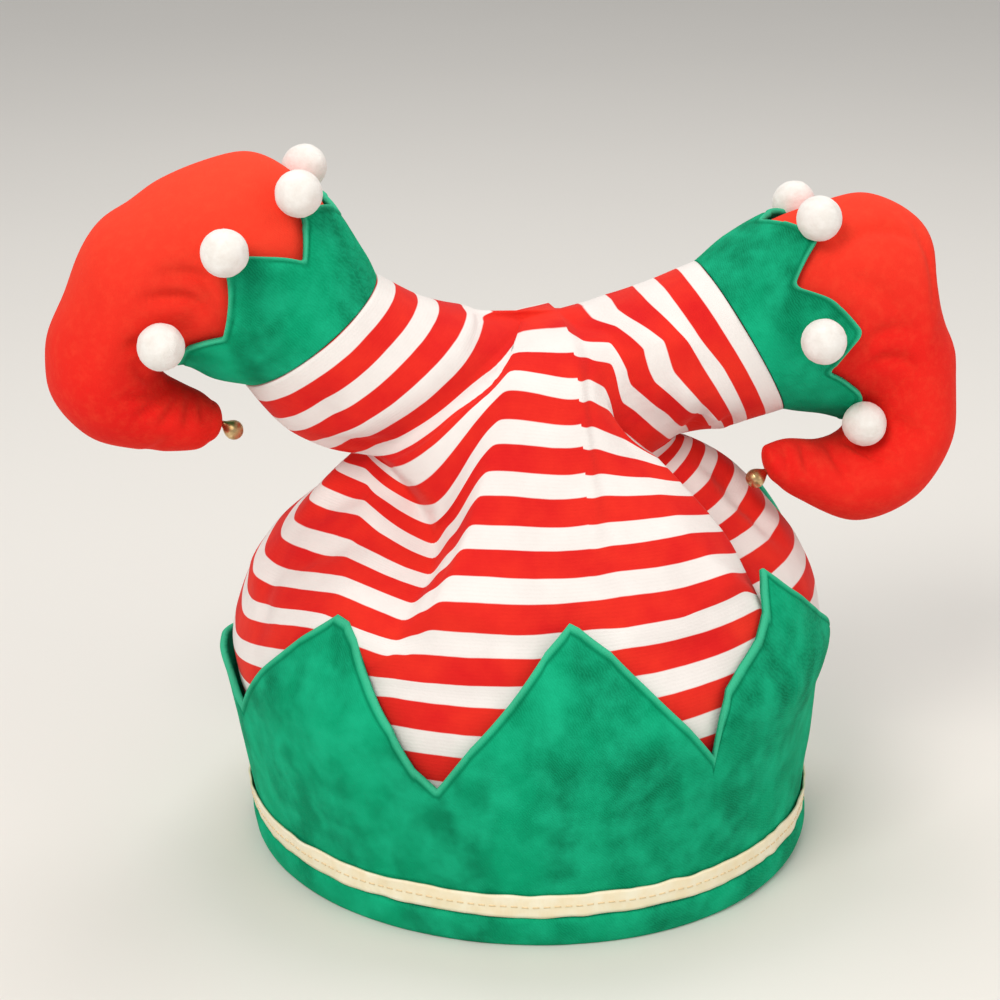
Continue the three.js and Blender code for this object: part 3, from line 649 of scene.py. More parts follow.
def foldedCloth(side, cloth, ways):
    index = sectionAt(side, cloth)
    points = plainCloth(side, index[:, None], ways[None])
    knots = foldKnots(side, cloth)
    shift = np.zeros_like(points)
    for (wayA, moveA, _), (wayB, moveB, ease) in zip(knots[:-1], knots[1:]):
        t = (ways[None] - wayA[:, None]) / np.maximum(wayB - wayA, 1e-4)[:, None]
        eased = t + (softStep(t) - t) * ease
        blend = moveA[:, None] + (moveB - moveA)[:, None] * eased[..., None]
        shift = np.where(((t >= 0) & (t <= 1))[..., None], blend, shift)
    radial = points[..., :2] / np.maximum(np.linalg.norm(points[..., :2], axis=-1, keepdims=True), 1)
    outward = np.sum(shift[..., :2] * radial, axis=-1)
    excess = np.maximum(outward - lineAt(bandRoom, cloth)[:, None], 0)
    shift[..., :2] -= radial * excess[..., None]
    points = bridgeCrotch(points + shift, cloth, ways)
    for _ in range(trouserMesh["smoothing"]):
        points[1:-1, 1:-1] = (points[1:-1, 1:-1] * 0.5 + (points[:-2, 1:-1] + points[2:, 1:-1]
                              + points[1:-1, :-2] + points[1:-1, 2:]) * 0.125)
    return points


# small creases of the cloth: (cloth height, way) from and to, depth and width in mm
clothCreases = {
    "left": [
        ((207, 0.06), (196, 0.13), 1.6, 3.5), ((213, 0.05), (204, 0.17), 1.4, 3.5),
        ((150, 0.33), (128, 0.42), 2.2, 6.0), ((176, 0.40), (150, 0.46), 2.0, 5.0),
        ((232, 0.42), (214, 0.32), 2.2, 5.0), ((250, 0.30), (236, 0.36), 1.6, 5.0),
        ((120, 0.20), (92, 0.24), 1.8, 9.0), ((132, 0.45), (100, 0.40), 2.0, 7.0),
    ],
    "right": [
        ((232, 0.30), (213, 0.42), 4.0, 5.0), ((240, 0.38), (222, 0.44), 3.0, 4.5),
        ((216, 0.18), (203, 0.27), 3.0, 5.0), ((226, 0.22), (210, 0.33), 2.0, 4.0),
        ((150, 0.40), (118, 0.37), 3.0, 5.0), ((165, 0.44), (140, 0.42), 2.5, 4.5),
        ((128, 0.10), (98, 0.12), 2.0, 7.0), ((112, 0.30), (84, 0.31), 2.4, 7.0),
    ],
}
creaseSteps = {"cloth": 12, "shoe": 14}      # points along a crease


def creaseLines(side, cloth, ways, points):
    lines = []
    for first, last, depth, width in clothCreases[side]:
        heights, around = creasePath(first, last, creaseSteps["cloth"])
        rows = np.round(np.interp(heights, cloth, np.arange(len(cloth)))).astype(int)
        columns = np.round(np.interp(around, ways, np.arange(len(ways)))).astype(int)
        lines.append((points[rows, columns], depth, width))
    return lines


# wrinkles and creases, which die out towards the seams and the rim
def wrinkledCloth(side, points, normals, cloth, ways):
    nearSeam = softStep(np.minimum(ways, 1 - ways) / wrinkles["seamClear"])[None, :, None]
    nearRim = softStep((cloth - wrinkles["rimFrom"]) / wrinkles["rimOver"])[:, None, None]
    wrinkle = layeredNoise(points * (1, 1, wrinkles["tall"]), [wrinkles["broad"]])
    wrinkle = wrinkle + layeredNoise(points, [wrinkles["fine"]])
    sink = creaseDepth(points, creaseLines(side, cloth, ways, points))
    return points + normals * ((wrinkle * wrinkles["depth"] - sink)[..., None]) * nearSeam * nearRim


# UV places of the cloth: round the leg, and the height that the stripes follow
def clothUv(side, cloth, ways):
    uv = np.zeros((len(cloth), len(ways), 2))
    slip = softStep((cloth - stripeSlip["from"]) / stripeSlip["fadeIn"]) * (side == "right")
    slip = slip * softStep((stripeSlip["to"] - cloth) / stripeSlip["fadeOut"]) * stripeSlip["amount"]
    uv[..., 0] = ways[None] * trouserMesh["roundLength"]
    uv[..., 1] = (cloth + slip)[:, None] * mm
    return uv


# one half of the trousers: outside, leg end, inside of the head hollow and the rim between them
def trouserHalf(side, ways):
    size = trouserMesh
    heights = sectionTables[side]["cloth"]
    crownTop, legTop = heights[crotch], heights[-1]
    legRows = np.linspace(crownTop, legTop, int((legTop - crownTop) / size["rowStep"]))
    cloth = np.unique(np.concatenate([np.arange(0, crownTop, size["rowStep"]), legRows]))
    points = foldedCloth(side, cloth, ways)
    normals = gridNormals(points, side == "left")
    points = wrinkledCloth(side, points, normals, cloth, ways)
    uv = clothUv(side, cloth, ways)
    ceilingRow = np.searchsorted(cloth, heights[ceilingSection])
    keep = np.unique(np.append(np.arange(0, ceilingRow, size["innerStep"]), ceilingRow))
    normals[0, :, 2] = 0
    inner = (points - normals * size["wall"])[keep]
    inner[:, 0, 0] = points[keep, 0, 0]
    inner[:, -1, 0] = points[keep, -1, 0]
    legEnd = np.stack([points[-1], np.broadcast_to(points[-1].mean(0), points[-1].shape)])
    flip = side == "left"
    grids = [{"points": points, "uv": uv, "flip": flip},
             {"points": legEnd, "uv": uv[[-1, -1]], "flip": flip},
             {"points": inner, "uv": uv[keep], "flip": not flip},
             {"points": np.stack([inner[0], points[0]]), "uv": uv[[0, 0]], "flip": flip}]
    return grids, inner[-1]


def makeTrousers():
    size = trouserMesh
    front = np.linspace(0, 0.5, size["frontColumns"] + 1)
    back = np.linspace(0.5, 1, size["backColumns"] + 1)[1:]
    halves = {side: trouserHalf(side, np.concatenate([front, back])) for side in sides}
    grids = [grid for half, _ in halves.values() for grid in half]
    middle = (halves["left"][1].mean(0) + halves["right"][1].mean(0)) / 2
    rings = np.arange(size["ceilingRings"])
    for side in sides:
        ring = halves[side][1]
        ceiling = ring[None] + (middle - ring)[None] * (rings / rings[-1])[:, None, None]
        uv = np.zeros(ceiling.shape[:2] + (2,))
        uv[..., 1] = (size["ceilingFrom"] + rings * size["ceilingStep"])[:, None] * mm
        grids.append({"points": ceiling, "uv": uv, "flip": side == "right"})
    piece = gridMesh("trousers_cloth", grids)
    settle(piece, stripedClothLook, "striped_cloth", "trousers")


makeTrousers()
print("trousers made")


# Band, hem and ribbon round the crown

bandSizes = {"wall": 2.5, "steps": 720, "turn": (-77, 283), "radius": 105, "base": 30.0, "steepest": 2.2,
             "waves": 1.5, "waveFrom": 20, "waveOver": 30, "middleRows": 32, "inmost": -0.6, "lipRise": 0.7,
             "edgeRounding": 13, "edgeFiner": 4, "edgeSlack": 0.4, "flat": (2 * math.pi * 0.102, 0.10)}
bandRows = {"fromEdge": (0.0, 0.4, 0.8, 1.3, 1.8, 2.2, 2.6, 3.0, 3.5, 4.4, 6.0, 8.5),
            "low": (30.0, 24.0, 19.0, 14.0, 11.5), "innerLow": (0.0, 11.0, 21.0, 30.0)}
bandBlobs = [(26, 11, 0.7), (12, 12, 0.3)]
# the turned and sewn edge of the velvet; its pale rim is painted highlight and its darker groove is painted
# shade
bandRim = {"width": 2.0, "radius": 1.2, "height": 0.3, "sunk": 0.2, "grooveAt": 2.2, "grooveWidth": 0.5,
           "grooveDepth": 0.3, "highlightFrom": 1.2, "highlightOver": 1.5}
# the turned-out roll below the ribbon
hemSizes = {"height": 11.0, "flare": 2.5, "square": 0.6, "radius": 102, "rows": 12, "blobs": [(9, 21, 0.35)]}
# gap between the plain crown and the band at each height
bandStandOff = [(0, 1), (40, 1.5), (65, 1.9), (90, 2.8), (120, 8)]
# the zigzag edge: degrees from the front towards +X, and height
bandEdge = [(-77, 61), (-67, 83), (-60, 97), (-54, 106), (-51, 105), (-48, 101), (-42, 88), (-37, 78),
            (-33, 64.5), (-29, 58), (-23, 74), (-16, 89), (-10, 103), (-5, 111), (-3, 109.5), (3, 102),
            (9, 91), (16, 77), (22, 63.5), (22.6, 78), (25, 86), (30, 91.5), (35.5, 97), (39.5, 104),
            (41, 110), (43, 116.5), (49, 107.5), (62, 91), (89, 60), (113, 111), (138, 58), (162, 111),
            (187, 58), (210, 108), (235, 60), (262, 71.5), (268, 71), (275, 67), (283, 61)]
# how far the tabs lean out at each angle
bandLean = [(-77, 0), (-54, -1), (-29, 0), (-5, -1), (22, 0), (43, 0), (62, -2), (75, -2), (89, 0),
            (235, 0), (262, -1), (283, 0)]


# distance of the plain crown from the axis at degrees and heights
def crownRadii(degrees, heights):
    turn = np.radians(degrees)
    index = np.linspace(0, ceilingSection, fineSections["crown"])
    radii = np.zeros(np.broadcast(degrees, heights).shape)
    for c, t in enumerate(np.ravel(turn)):
        side = "left" if math.sin(t) < 0 else "right"
        underX = smoothAt(sectionTables[side]["underX"], index)
        depth = smoothAt(crownDepths, index)
        way = np.arctan2(np.abs(np.sin(t) / underX), np.cos(t) / depth) / np.pi
        p = plainCloth(side, index, way)
        radii[:, c] = np.interp(heights[:, c], p[:, 2], np.hypot(p[:, 0], p[:, 1]))
    return radii


# points of the band at degrees and heights, out from its inner face
def bandPoints(degrees, heights, out):
    heights, out = np.broadcast_arrays(heights, out)
    stand = lineAt(bandStandOff, heights)
    radius = crownRadii(degrees, np.maximum(heights, crownSections[0]["rise"])) + stand + out
    turn = np.radians(degrees)[None]
    return np.stack([radius * np.sin(turn), -radius * np.cos(turn), heights], -1)


# places at degrees and heights on a plain ring, where noise is read
def bandField(degrees, heights, radius):
    turn = np.radians(degrees)
    ring = np.stack([np.sin(turn), -np.cos(turn), np.zeros_like(turn)], -1)
    return ring[None] * radius + np.stack([np.zeros_like(heights), np.zeros_like(heights), heights], -1)


# how far the velvet waves and leans out: nothing at the base, most at the edge
def bandSway(degrees, heights, edge, least=-math.inf):
    size = bandSizes
    share = np.clip((heights - size["base"]) / np.maximum(edge - size["base"], 1)[None], 0, 1)
    wave = layeredNoise(bandField(degrees, heights, size["radius"]), bandBlobs)
    wave = wave * (size["waves"] * softStep((heights - size["waveFrom"]) / size["waveOver"]))
    return lineAt(bandLean, degrees)[None] * share**2 + np.maximum(wave, least)


def bandEdgeHeights(degrees):
    size = bandSizes
    fine = np.linspace(*size["turn"], size["steps"] * size["edgeFiner"] + 1)
    rounded = smoothed(lineAt(bandEdge, fine), size["edgeRounding"], "wrap")[::size["edgeFiner"]]
    return np.minimum(lineAt(bandEdge, degrees), rounded + size["edgeSlack"])


# a turned edge at distances from it: how far it stands out, its sewn groove and its pale rim; the groove also
# sets painted shade and the pale rim is painted highlight along the edge
def turnedEdge(away, rim):
    arch = np.sqrt(np.clip(1 - ((away - rim["width"] / 2) / rim["radius"]) ** 2, 0, 1))
    roll = np.where(away < rim["width"], arch * rim["height"] - rim["sunk"], 0)
    groove = np.exp(-((away - rim["grooveAt"]) / rim["grooveWidth"]) ** 2)
    return roll, groove, np.clip(rim["highlightFrom"] - away / rim["highlightOver"], 0, 1)


def makeHem(degrees):
    size = hemSizes
    turn = np.linspace(0, np.pi, size["rows"])
    heights = np.repeat((size["height"] / 2 * (1 + np.cos(turn)))[:, None], len(degrees), 1)
    out = bandSizes["wall"] + size["flare"] * np.sin(turn) ** size["square"]
    wave = layeredNoise(bandField(degrees, heights, size["radius"]), size["blobs"]) * np.sin(turn)[:, None]
    return bandPoints(degrees, heights, out[:, None] + wave)


def makeBand():
    size = bandSizes
    degrees = np.linspace(*size["turn"], size["steps"] + 1)
    edge = bandEdgeHeights(degrees)
    slope = np.abs(np.gradient(edge, np.radians(degrees) * size["radius"]))
    stretch = np.sqrt(1 + np.minimum(slope, size["steepest"]) ** 2)
    fromEdge = np.array(bandRows["fromEdge"])
    upper = edge[None] - fromEdge[:, None] * stretch[None]
    shares = np.linspace(0, 1, size["middleRows"] + 2)[1:-1]
    middle = upper[-1][None] + (size["base"] - upper[-1])[None] * shares[:, None]
    low = np.repeat(np.array(bandRows["low"])[:, None], len(degrees), 1)
    innerLow = np.repeat(np.array(bandRows["innerLow"])[:, None], len(degrees), 1)
    outerZ = np.concatenate([upper, middle, low])
    below = (0, len(outerZ) - len(fromEdge))
    roll, groove, rim = (np.pad(v, below)[:, None] for v in turnedEdge(fromEdge, bandRim))
    out = size["wall"] + bandSway(degrees, outerZ, edge) + roll - groove * bandRim["grooveDepth"]
    outer = bandPoints(degrees, outerZ, out)
    innerZ = np.concatenate([innerLow, middle[::-4], upper[::-2]])
    inner = bandPoints(degrees, innerZ, bandSway(degrees, innerZ, edge, size["inmost"]))
    lip = (inner[-1] + outer[0]) / 2 + np.array((0, 0, size["lipRise"]))
    hem = makeHem(degrees)
    points = np.concatenate([hem[-1:], inner, lip[None], outer, hem])[::-1]
    points[:, -1] = points[:, 0]
    rimHighlights, grooveShades = np.zeros(points.shape[:2]), np.zeros(points.shape[:2])
    first, last = len(hem), len(hem) + len(outer)
    # painted highlight along the band's edge and its lip
    rimHighlights[first:last] = rim[::-1]
    rimHighlights[last] = 1
    # painted shade in the band's sewn groove
    grooveShades[first:last] = groove[::-1]
    piece = gridMesh("band_velvet", [{"points": points, "rim": rimHighlights, "groove": grooveShades}], ("rim", "groove"))
    settle(piece, greenVelvetLook, "green_velvet", "band")


makeBand()
print("band made")

ribbonSizes = {"low": 11.3, "high": 20.0, "standOff": 0.65, "thickness": 0.7, "steps": 900, "rows": 9,
               "radius": 104, "crinkle": 0.75, "crinkleTall": 0.45, "inmost": -0.3, "middleCrinkle": 0.35,
               "uvWidth": 0.0102, "flat": (2 * math.pi * 0.1045, 0.0104)}
ribbonBlobs = {"low": [(7, 31, 0.55), (30, 32, 0.5)], "high": [(7, 33, 0.55), (30, 32, 0.5)],
               "crinkle": [(5, 35, 0.6), (11, 36, 0.6)]}


def ribbonPoints(degrees, across, out):
    size = ribbonSizes
    ring = bandField(degrees, np.zeros((1, len(degrees))), size["radius"])[0]
    low, high = (size[edge] + layeredNoise(ring, ribbonBlobs[edge]) for edge in ("low", "high"))
    z = low[None] + (high - low)[None] * across[:, None]
    field = bandField(degrees, z * size["crinkleTall"], size["radius"])
    crinkle = np.maximum(layeredNoise(field, ribbonBlobs["crinkle"]), size["inmost"]) * size["crinkle"]
    toEdge = np.abs(across - 0.5)[:, None] * 2
    crinkle *= size["middleCrinkle"] + (1 - size["middleCrinkle"]) * toEdge
    return bandPoints(degrees, z, bandSizes["wall"] + size["standOff"] + crinkle + out)


def makeRibbon():
    size = ribbonSizes
    degrees = np.linspace(*bandSizes["turn"], size["steps"] + 1)
    across = np.linspace(0, 1, size["rows"])
    front = ribbonPoints(degrees, across, size["thickness"])
    back = ribbonPoints(degrees, across[::-1], 0.0)
    points = np.concatenate([front, back, front[:1]])
    points[:, -1] = points[:, 0]
    uv = np.zeros(points.shape[:2] + (2,))
    uv[..., 0] = (np.radians(degrees) * size["radius"] * mm)[None]
    uv[..., 1] = np.concatenate([across, across[::-1], across[:1]])[:, None] * size["uvWidth"]
    piece = gridMesh("ribbon_satin", [{"points": points, "uv": uv}])
    settle(piece, goldSatinLook, "gold_satin", "ribbon")


makeRibbon()


# a new Geometry Nodes tree with named inputs
def startTree(name, **inputs):
    tree = bpy.data.node_groups.new(name, "GeometryNodeTree")
    for title, kind in inputs.items():
        tree.interface.new_socket(title, in_out="INPUT", socket_type="NodeSocket" + kind)
    tree.interface.new_socket("Geometry", in_out="OUTPUT", socket_type="NodeSocketGeometry")
    return tree, tree.nodes.new("NodeGroupInput").outputs


def endTree(tree, geometry, material):
    real = addNode(tree, "GeometryNodeRealizeInstances", {"Geometry": geometry}).outputs["Geometry"]
    painted = addNode(tree, "GeometryNodeSetMaterial", {"Geometry": real, "Material": material})
    addNode(tree, "NodeGroupOutput", {"Geometry": painted.outputs["Geometry"]})
    return tree


stitchSizes = {"spacing": 3.6, "length": 2.2, "radius": 0.28, "sides": 6, "pathSteps": 720, "rise": 0.05}


# a tree that lays stitches along a curve
def stitchTree():
    tree, given = startTree("ribbonStitches", Path="Geometry", Spacing="Float", Length="Float",
                            Radius="Float", Thread="Material")
    curve = addNode(tree, "GeometryNodeMeshToCurve", {"Mesh": given["Path"]}).outputs["Curve"]
    spots = addNode(tree, "GeometryNodeCurveToPoints", {"Curve": curve, "Length": given["Spacing"]},
                    mode="LENGTH")
    stitch = addNode(tree, "GeometryNodeMeshCylinder",
                     {"Vertices": stitchSizes["sides"], "Radius": given["Radius"], "Depth": given["Length"]},
                     fill_type="TRIANGLE_FAN")
    laid = addNode(tree, "GeometryNodeInstanceOnPoints",
                   {"Points": spots.outputs["Points"], "Instance": stitch.outputs["Mesh"],
                    "Rotation": spots.outputs["Rotation"]})
    return endTree(tree, laid.outputs["Instances"], given["Thread"])


# grow a piece from a mesh with a tree, and keep the result as a plain mesh
def growPiece(seed, name, tree, values):
    source = bpy.data.objects.new(seed.name, seed)
    bpy.context.scene.collection.objects.link(source)
    modifier = source.modifiers.new(tree.name, "NODES")
    modifier.node_group = tree
    for item in tree.interface.items_tree:
        if item.in_out == "INPUT" and item.name in values:
            modifier[item.identifier] = values[item.name]
    bpy.context.view_layer.update()
    graph = bpy.context.evaluated_depsgraph_get()
    mesh = bpy.data.meshes.new_from_object(source.evaluated_get(graph))
    mesh.name = name
    bpy.data.objects.remove(source)
    for polygon in mesh.polygons:
        polygon.use_smooth = True
    piece = bpy.data.objects.new(name, mesh)
    bpy.context.scene.collection.objects.link(piece)
    return piece


def makeStitches():
    size = stitchSizes
    degrees = np.linspace(*bandSizes["turn"], size["pathSteps"] + 1)
    path = ribbonPoints(degrees, np.array([0.5]), ribbonSizes["thickness"] + size["rise"])[0]
    mesh = bpy.data.meshes.new("stitchPath")
    places = ((path + hatAxis) * mm).tolist()
    mesh.from_pydata(places, [(i, i + 1) for i in range(len(places) - 1)], [])
    piece = growPiece(mesh, "ribbon_stitches", stitchTree(), {
        "Spacing": size["spacing"] * mm, "Length": size["length"] * mm, "Radius": size["radius"] * mm,
        "Thread": threadLook})
    settle(piece, threadLook, "gold_satin")


makeStitches()
print("ribbon and stitches made")


# Shoes, cuffs, balls and bells

shoeSizes = {"drawnIn": 2.8, "sewnGap": 0.4, "rows": 68, "sides": 48, "finer": 2, "fill": 0.9, "slack": 0.1,
             "slackFrom": 1.5, "slackTo": 1.2, "toeRings": (30, 55, 75, 90), "toeLength": 4.0,
             "tipRing": 24, "tipBack": 0.3}
shoeBlobs = [(24, 41, 0.5), (9, 42, 0.15)]
# the first rows stay where they are sewn: section, and reach round its ring and its middle in m
shoeSewn = {"section": 0.35, "reach": 0.006, "middle": 0.03}
# instep-side and heel-or-sole-side points [x, z], half thickness and how far the foot swings forward
shoeSections = {
    "left": [((-112, 175.5), (-62, 211), 28, 0), ((-120, 180.5), (-70, 224), 28.5, 0),
             ((-127, 182), (-79, 238), 29, 0), ((-130, 181.5), (-99, 249.5), 29, 0),
             ((-131, 180), (-131, 239), 29, 0), ((-131.5, 178.5), (-151.5, 223.5), 28.5, 0),
             ((-131, 176.5), (-163.5, 195), 27.5, 0), ((-130, 175), (-167.5, 172), 25.5, 0),
             ((-127.5, 172.5), (-156, 155), 22, 0), ((-122, 169.5), (-136, 149), 17, 0),
             ((-117, 167), (-120.5, 148), 12.5, 0), ((-113.5, 164), (-115, 150.5), 8.5, 0)],
    "right": [((96, 151.5), (68, 210.5), 28, 0), ((104, 150), (80, 216.5), 28.5, 0),
              ((110, 148), (97, 222.5), 29, 0), ((112.5, 146.5), (117, 226), 29, 0),
              ((113.5, 145), (137, 214), 29, 1), ((113.5, 144), (141, 190.5), 28.5, 3),
              ((112.5, 144), (147.5, 161.5), 27.5, 6), ((110.5, 143.5), (146, 140), 25.5, 10),
              ((106.5, 143), (132, 120), 22, 14), ((97, 143), (109.5, 113.5), 17, 18),
              ((84.5, 146), (87, 124.5), 12, 22), ((76.5, 145.2), (79.5, 130.5), 8.5, 24)],
}


def shoeTable(side):
    seam = legSections[side][-1]
    top, under = np.array(seam["top"], float), np.array(seam["under"], float)
    across = (top - under) / np.linalg.norm(top - under)
    axis = np.array((-across[1], across[0])) * (1 if side == "left" else -1)
    top = top - across * shoeSizes["drawnIn"] + axis * shoeSizes["sewnGap"]
    under = under + across * shoeSizes["drawnIn"] + axis * shoeSizes["sewnGap"]
    first = (tuple(under), tuple(top), seam["half"] - shoeSizes["drawnIn"], 0)
    rows = [first] + shoeSections[side]
    inner, outer, half, swing = zip(*rows)
    innerX, innerZ = zip(*inner)
    outerX, outerZ = zip(*outer)
    return {"innerX": innerX, "innerZ": innerZ, "outerX": outerX, "outerZ": outerZ, "half": half,
            "swing": swing}


shoeTables = {side: shoeTable(side) for side in sides}


# point of a shoe at a fractional section, at an angle from the heel (0) past the near side to the instep (pi)
def shoePoints(side, index, angle, grow):
    table = shoeTables[side]
    index, angle, grow = np.broadcast_arrays(*(np.asarray(a, float) for a in (index, angle, grow)))
    innerX, innerZ = smoothAt(table["innerX"], index), smoothAt(table["innerZ"], index)
    outerX, outerZ = smoothAt(table["outerX"], index), smoothAt(table["outerZ"], index)
    armX, armZ = (outerX - innerX) / 2, (outerZ - innerZ) / 2
    length = np.hypot(armX, armZ)
    scale = (length + grow) / length * np.cos(angle)
    y = -(smoothAt(table["half"], index) + grow) * np.sin(angle) - smoothAt(table["swing"], index)
    return np.stack([(innerX + outerX) / 2 + armX * scale, y, (innerZ + outerZ) / 2 + armZ * scale], -1)


def toeTip(side):
    last = len(shoeTables[side]["half"]) - 1
    angles = np.linspace(0, 2 * np.pi, shoeSizes["tipRing"], endpoint=False)
    end = shoePoints(side, last, angles, 0).mean(0)
    before = shoePoints(side, last - shoeSizes["tipBack"], angles, 0).mean(0)
    heading = (end - before) / np.linalg.norm(end - before)
    return end + heading * shoeSizes["toeLength"]


# creases of the stuffed shoes: (section, angle in degrees) from and to, depth and width in mm;
# a depth below zero stands out
shoeCreases = {
    "left": [
        ((8.75, 168), (8.0, 112), 2.6, 2.4), ((9.2, 172), (8.9, 108), 2.4, 2.2),
        ((9.7, 172), (9.7, 105), 2.4, 2.2), ((10.3, 170), (10.5, 100), 2.0, 2.2),
        ((11.0, 165), (11.2, 110), 1.4, 2.0), ((7.6, 165), (6.6, 120), 2.2, 2.6),
        ((3.6, 113), (5.3, 88), 3.0, 2.6), ((3.5, 103), (4.9, 78), 2.4, 2.4),
        ((5.4, 128), (6.3, 104), 2.0, 2.6), ((5.3, -50), (5.3, 50), 1.4, 8.0),
        ((7.2, -50), (7.2, 50), -2.0, 10.0), ((10.0, 20), (10.1, 75), 1.4, 2.6),
    ],
    "right": [
        ((3.0, 40), (4.7, 34), 2.0, 2.6), ((4.6, 20), (5.4, 62), 1.8, 3.0),
        ((5.5, -45), (5.5, 40), 1.2, 5.0), ((6.6, -45), (6.6, 40), -1.8, 7.0),
        ((3.2, 62), (4.4, 84), 1.6, 3.2), ((3.3, 100), (4.9, 84), 2.2, 3.0),
        ((3.6, 112), (5.3, 98), 2.2, 2.8), ((9.0, 168), (8.5, 118), 2.0, 2.4),
        ((9.8, 168), (9.9, 110), 2.2, 2.4), ((10.6, 165), (10.8, 105), 2.2, 2.2),
        ((11.3, 160), (11.4, 80), 1.6, 2.0), ((6.2, 130), (7.4, 100), 1.6, 3.4),
    ],
}


# names as in Blender's cloth settings
stuffing = {"quality": 6, "mass": 0.2, "tension_stiffness": 25, "compression_stiffness": 12,
            "shear_stiffness": 8, "bending_stiffness": 1.5, "use_pressure": True,
            "uniform_pressure_force": 3.0}
stuffingRun = {"frames": 18, "furthest": 1.8}      # no point moves further than this, in mm


# swell a stuffed piece with Blender's cloth, keeping its first rows where they are sewn
def stuff(piece, pinned):
    before = np.array([v.co for v in piece.data.vertices])
    group = piece.vertex_groups.new(name="sewn")
    group.add(pinned, 1.0, "REPLACE")
    cloth = piece.modifiers.new("stuffing", "CLOTH")
    for key, value in stuffing.items():
        setattr(cloth.settings, key, value)
    cloth.settings.vertex_group_mass = group.name
    cloth.settings.effector_weights.gravity = 0
    cloth.point_cache.frame_start = 1
    cloth.point_cache.frame_end = stuffingRun["frames"]
    scene = bpy.context.scene
    for step in range(1, stuffingRun["frames"] + 1):
        scene.frame_set(step)
    graph = bpy.context.evaluated_depsgraph_get()
    done = piece.evaluated_get(graph).to_mesh()
    after = np.array([v.co for v in done.vertices])
    piece.evaluated_get(graph).to_mesh_clear()
    piece.modifiers.remove(cloth)
    piece.vertex_groups.remove(group)
    scene.frame_set(1)
    move = after - before
    length = np.linalg.norm(move, axis=1, keepdims=True)
    move *= np.minimum(1, stuffingRun["furthest"] * mm / np.maximum(length, 1e-9))
    piece.data.vertices.foreach_set("co", (before + move).astype(np.float32).ravel())
    piece.data.update()


def subdivide(piece, levels):
    modifier = piece.modifiers.new("finer", "SUBSURF")
    modifier.levels = levels
    modifier.render_levels = levels
    bpy.context.view_layer.update()
    graph = bpy.context.evaluated_depsgraph_get()
    mesh = bpy.data.meshes.new_from_object(piece.evaluated_get(graph))
    piece.modifiers.clear()
    piece.data = mesh
    for polygon in mesh.polygons:
        polygon.use_smooth = True


def sinkAlongNormals(piece, depths):
    mesh = piece.data
    places = np.array([v.co for v in mesh.vertices])
    normals = np.array([v.normal for v in mesh.vertices])
    mesh.vertices.foreach_set("co", (places - normals * depths[:, None] * mm).astype(np.float32).ravel())
    mesh.update()


def shoeMesh(side):
    size = shoeSizes
    last = len(shoeTables[side]["half"]) - 1
    index = np.linspace(0, last, size["rows"])
    angles = np.linspace(0, 2 * np.pi, size["sides"] + 1)
    slack = -size["slack"] * softStep(index / size["slackFrom"]) * softStep((last - index) / size["slackTo"])
    points = shoePoints(side, index[:, None], angles[None], slack[:, None])
    points[:, -1] = points[:, 0]
    middle = points[-1].mean(0)
    rings = np.radians(size["toeRings"])[:, None, None]
    toe = middle + (points[-1] - middle) * np.cos(rings) + (toeTip(side) - middle) * np.sin(rings)
    start = np.broadcast_to(points[0].mean(0), points[0].shape)
    points = np.concatenate([start[None], points, toe])
    piece = gridMesh("shoe_%s_plush" % side, [{"points": points, "flip": side == "left"}])
    sewnRing = (shoePoints(side, shoeSewn["section"], angles, 0) + hatAxis) * mm
    places = np.array([v.co for v in piece.data.vertices])
    fromRing = np.min(np.linalg.norm(places[:, None] - sewnRing[None], axis=-1), axis=1)
    fromMiddle = np.linalg.norm(places - (start[0] + hatAxis) * mm, axis=1)
    return piece, np.nonzero((fromRing < shoeSewn["reach"]) | (fromMiddle < shoeSewn["middle"]))[0].tolist()


def makeShoe(side):
    piece, pinned = shoeMesh(side)
    stuff(piece, pinned)
    subdivide(piece, shoeSizes["finer"])
    places = np.array([v.co for v in piece.data.vertices]) / mm - hatAxis
    lines = []
    for first, last, depth, width in shoeCreases[side]:
        along, turn = creasePath(first, last, creaseSteps["shoe"])
        lines.append((shoePoints(side, along, np.radians(turn), 0), depth, width))
    sinkAlongNormals(piece, creaseDepth(places, lines) - layeredNoise(places, shoeBlobs))
    settle(piece, redPlushLook, "red_plush", "shoe_%s" % side)


cuffSizes = {"gap": 0.8, "wall": 2.0, "steps": 288, "rows": 22, "flat": (0.19, 0.033), "leastGap": 0.3,
             "edgeRows": (0.84, 0.88, 0.915, 0.945, 0.97, 0.99, 1.0), "evenTo": 0.8, "waveFrom": 0.25,
             "flareFrom": 0.45, "flareLow": 0.6, "flareHigh": 1.6, "flare": 0.5, "flareTurns": 6,
             "lipReach": 0.4}
cuffBlobs = [(14, 51, 0.45)]
# painted highlight and painted shade: the pale rim and the darker groove of the cuff's edge
cuffRim = {"width": 1.6, "radius": 1.0, "height": 0.4, "sunk": 0.2, "grooveAt": 2.2, "grooveWidth": 0.6,
           "grooveDepth": 0.35, "highlightFrom": 1.2, "highlightOver": 1.3}
# reach of the cuff's edge along the shoe's sections at each angle from the heel
cuffEdge = {
    "left": [(0, 2.1), (40, 3.0), (59, 2.3), (82, 3.85), (118, 2.4), (135, 3.25), (180, 2.1)],
    "right": [(0, 1.9), (36, 2.72), (58, 1.78), (62, 2.05), (70, 2.55), (78, 2.8), (90, 3.2), (110, 1.85),
              (115, 2.3), (122, 2.75), (129, 3.3), (180, 2.0)],
}
cuffRound = {"left": 3, "right": 5}      # steps over which the points and notches are rounded


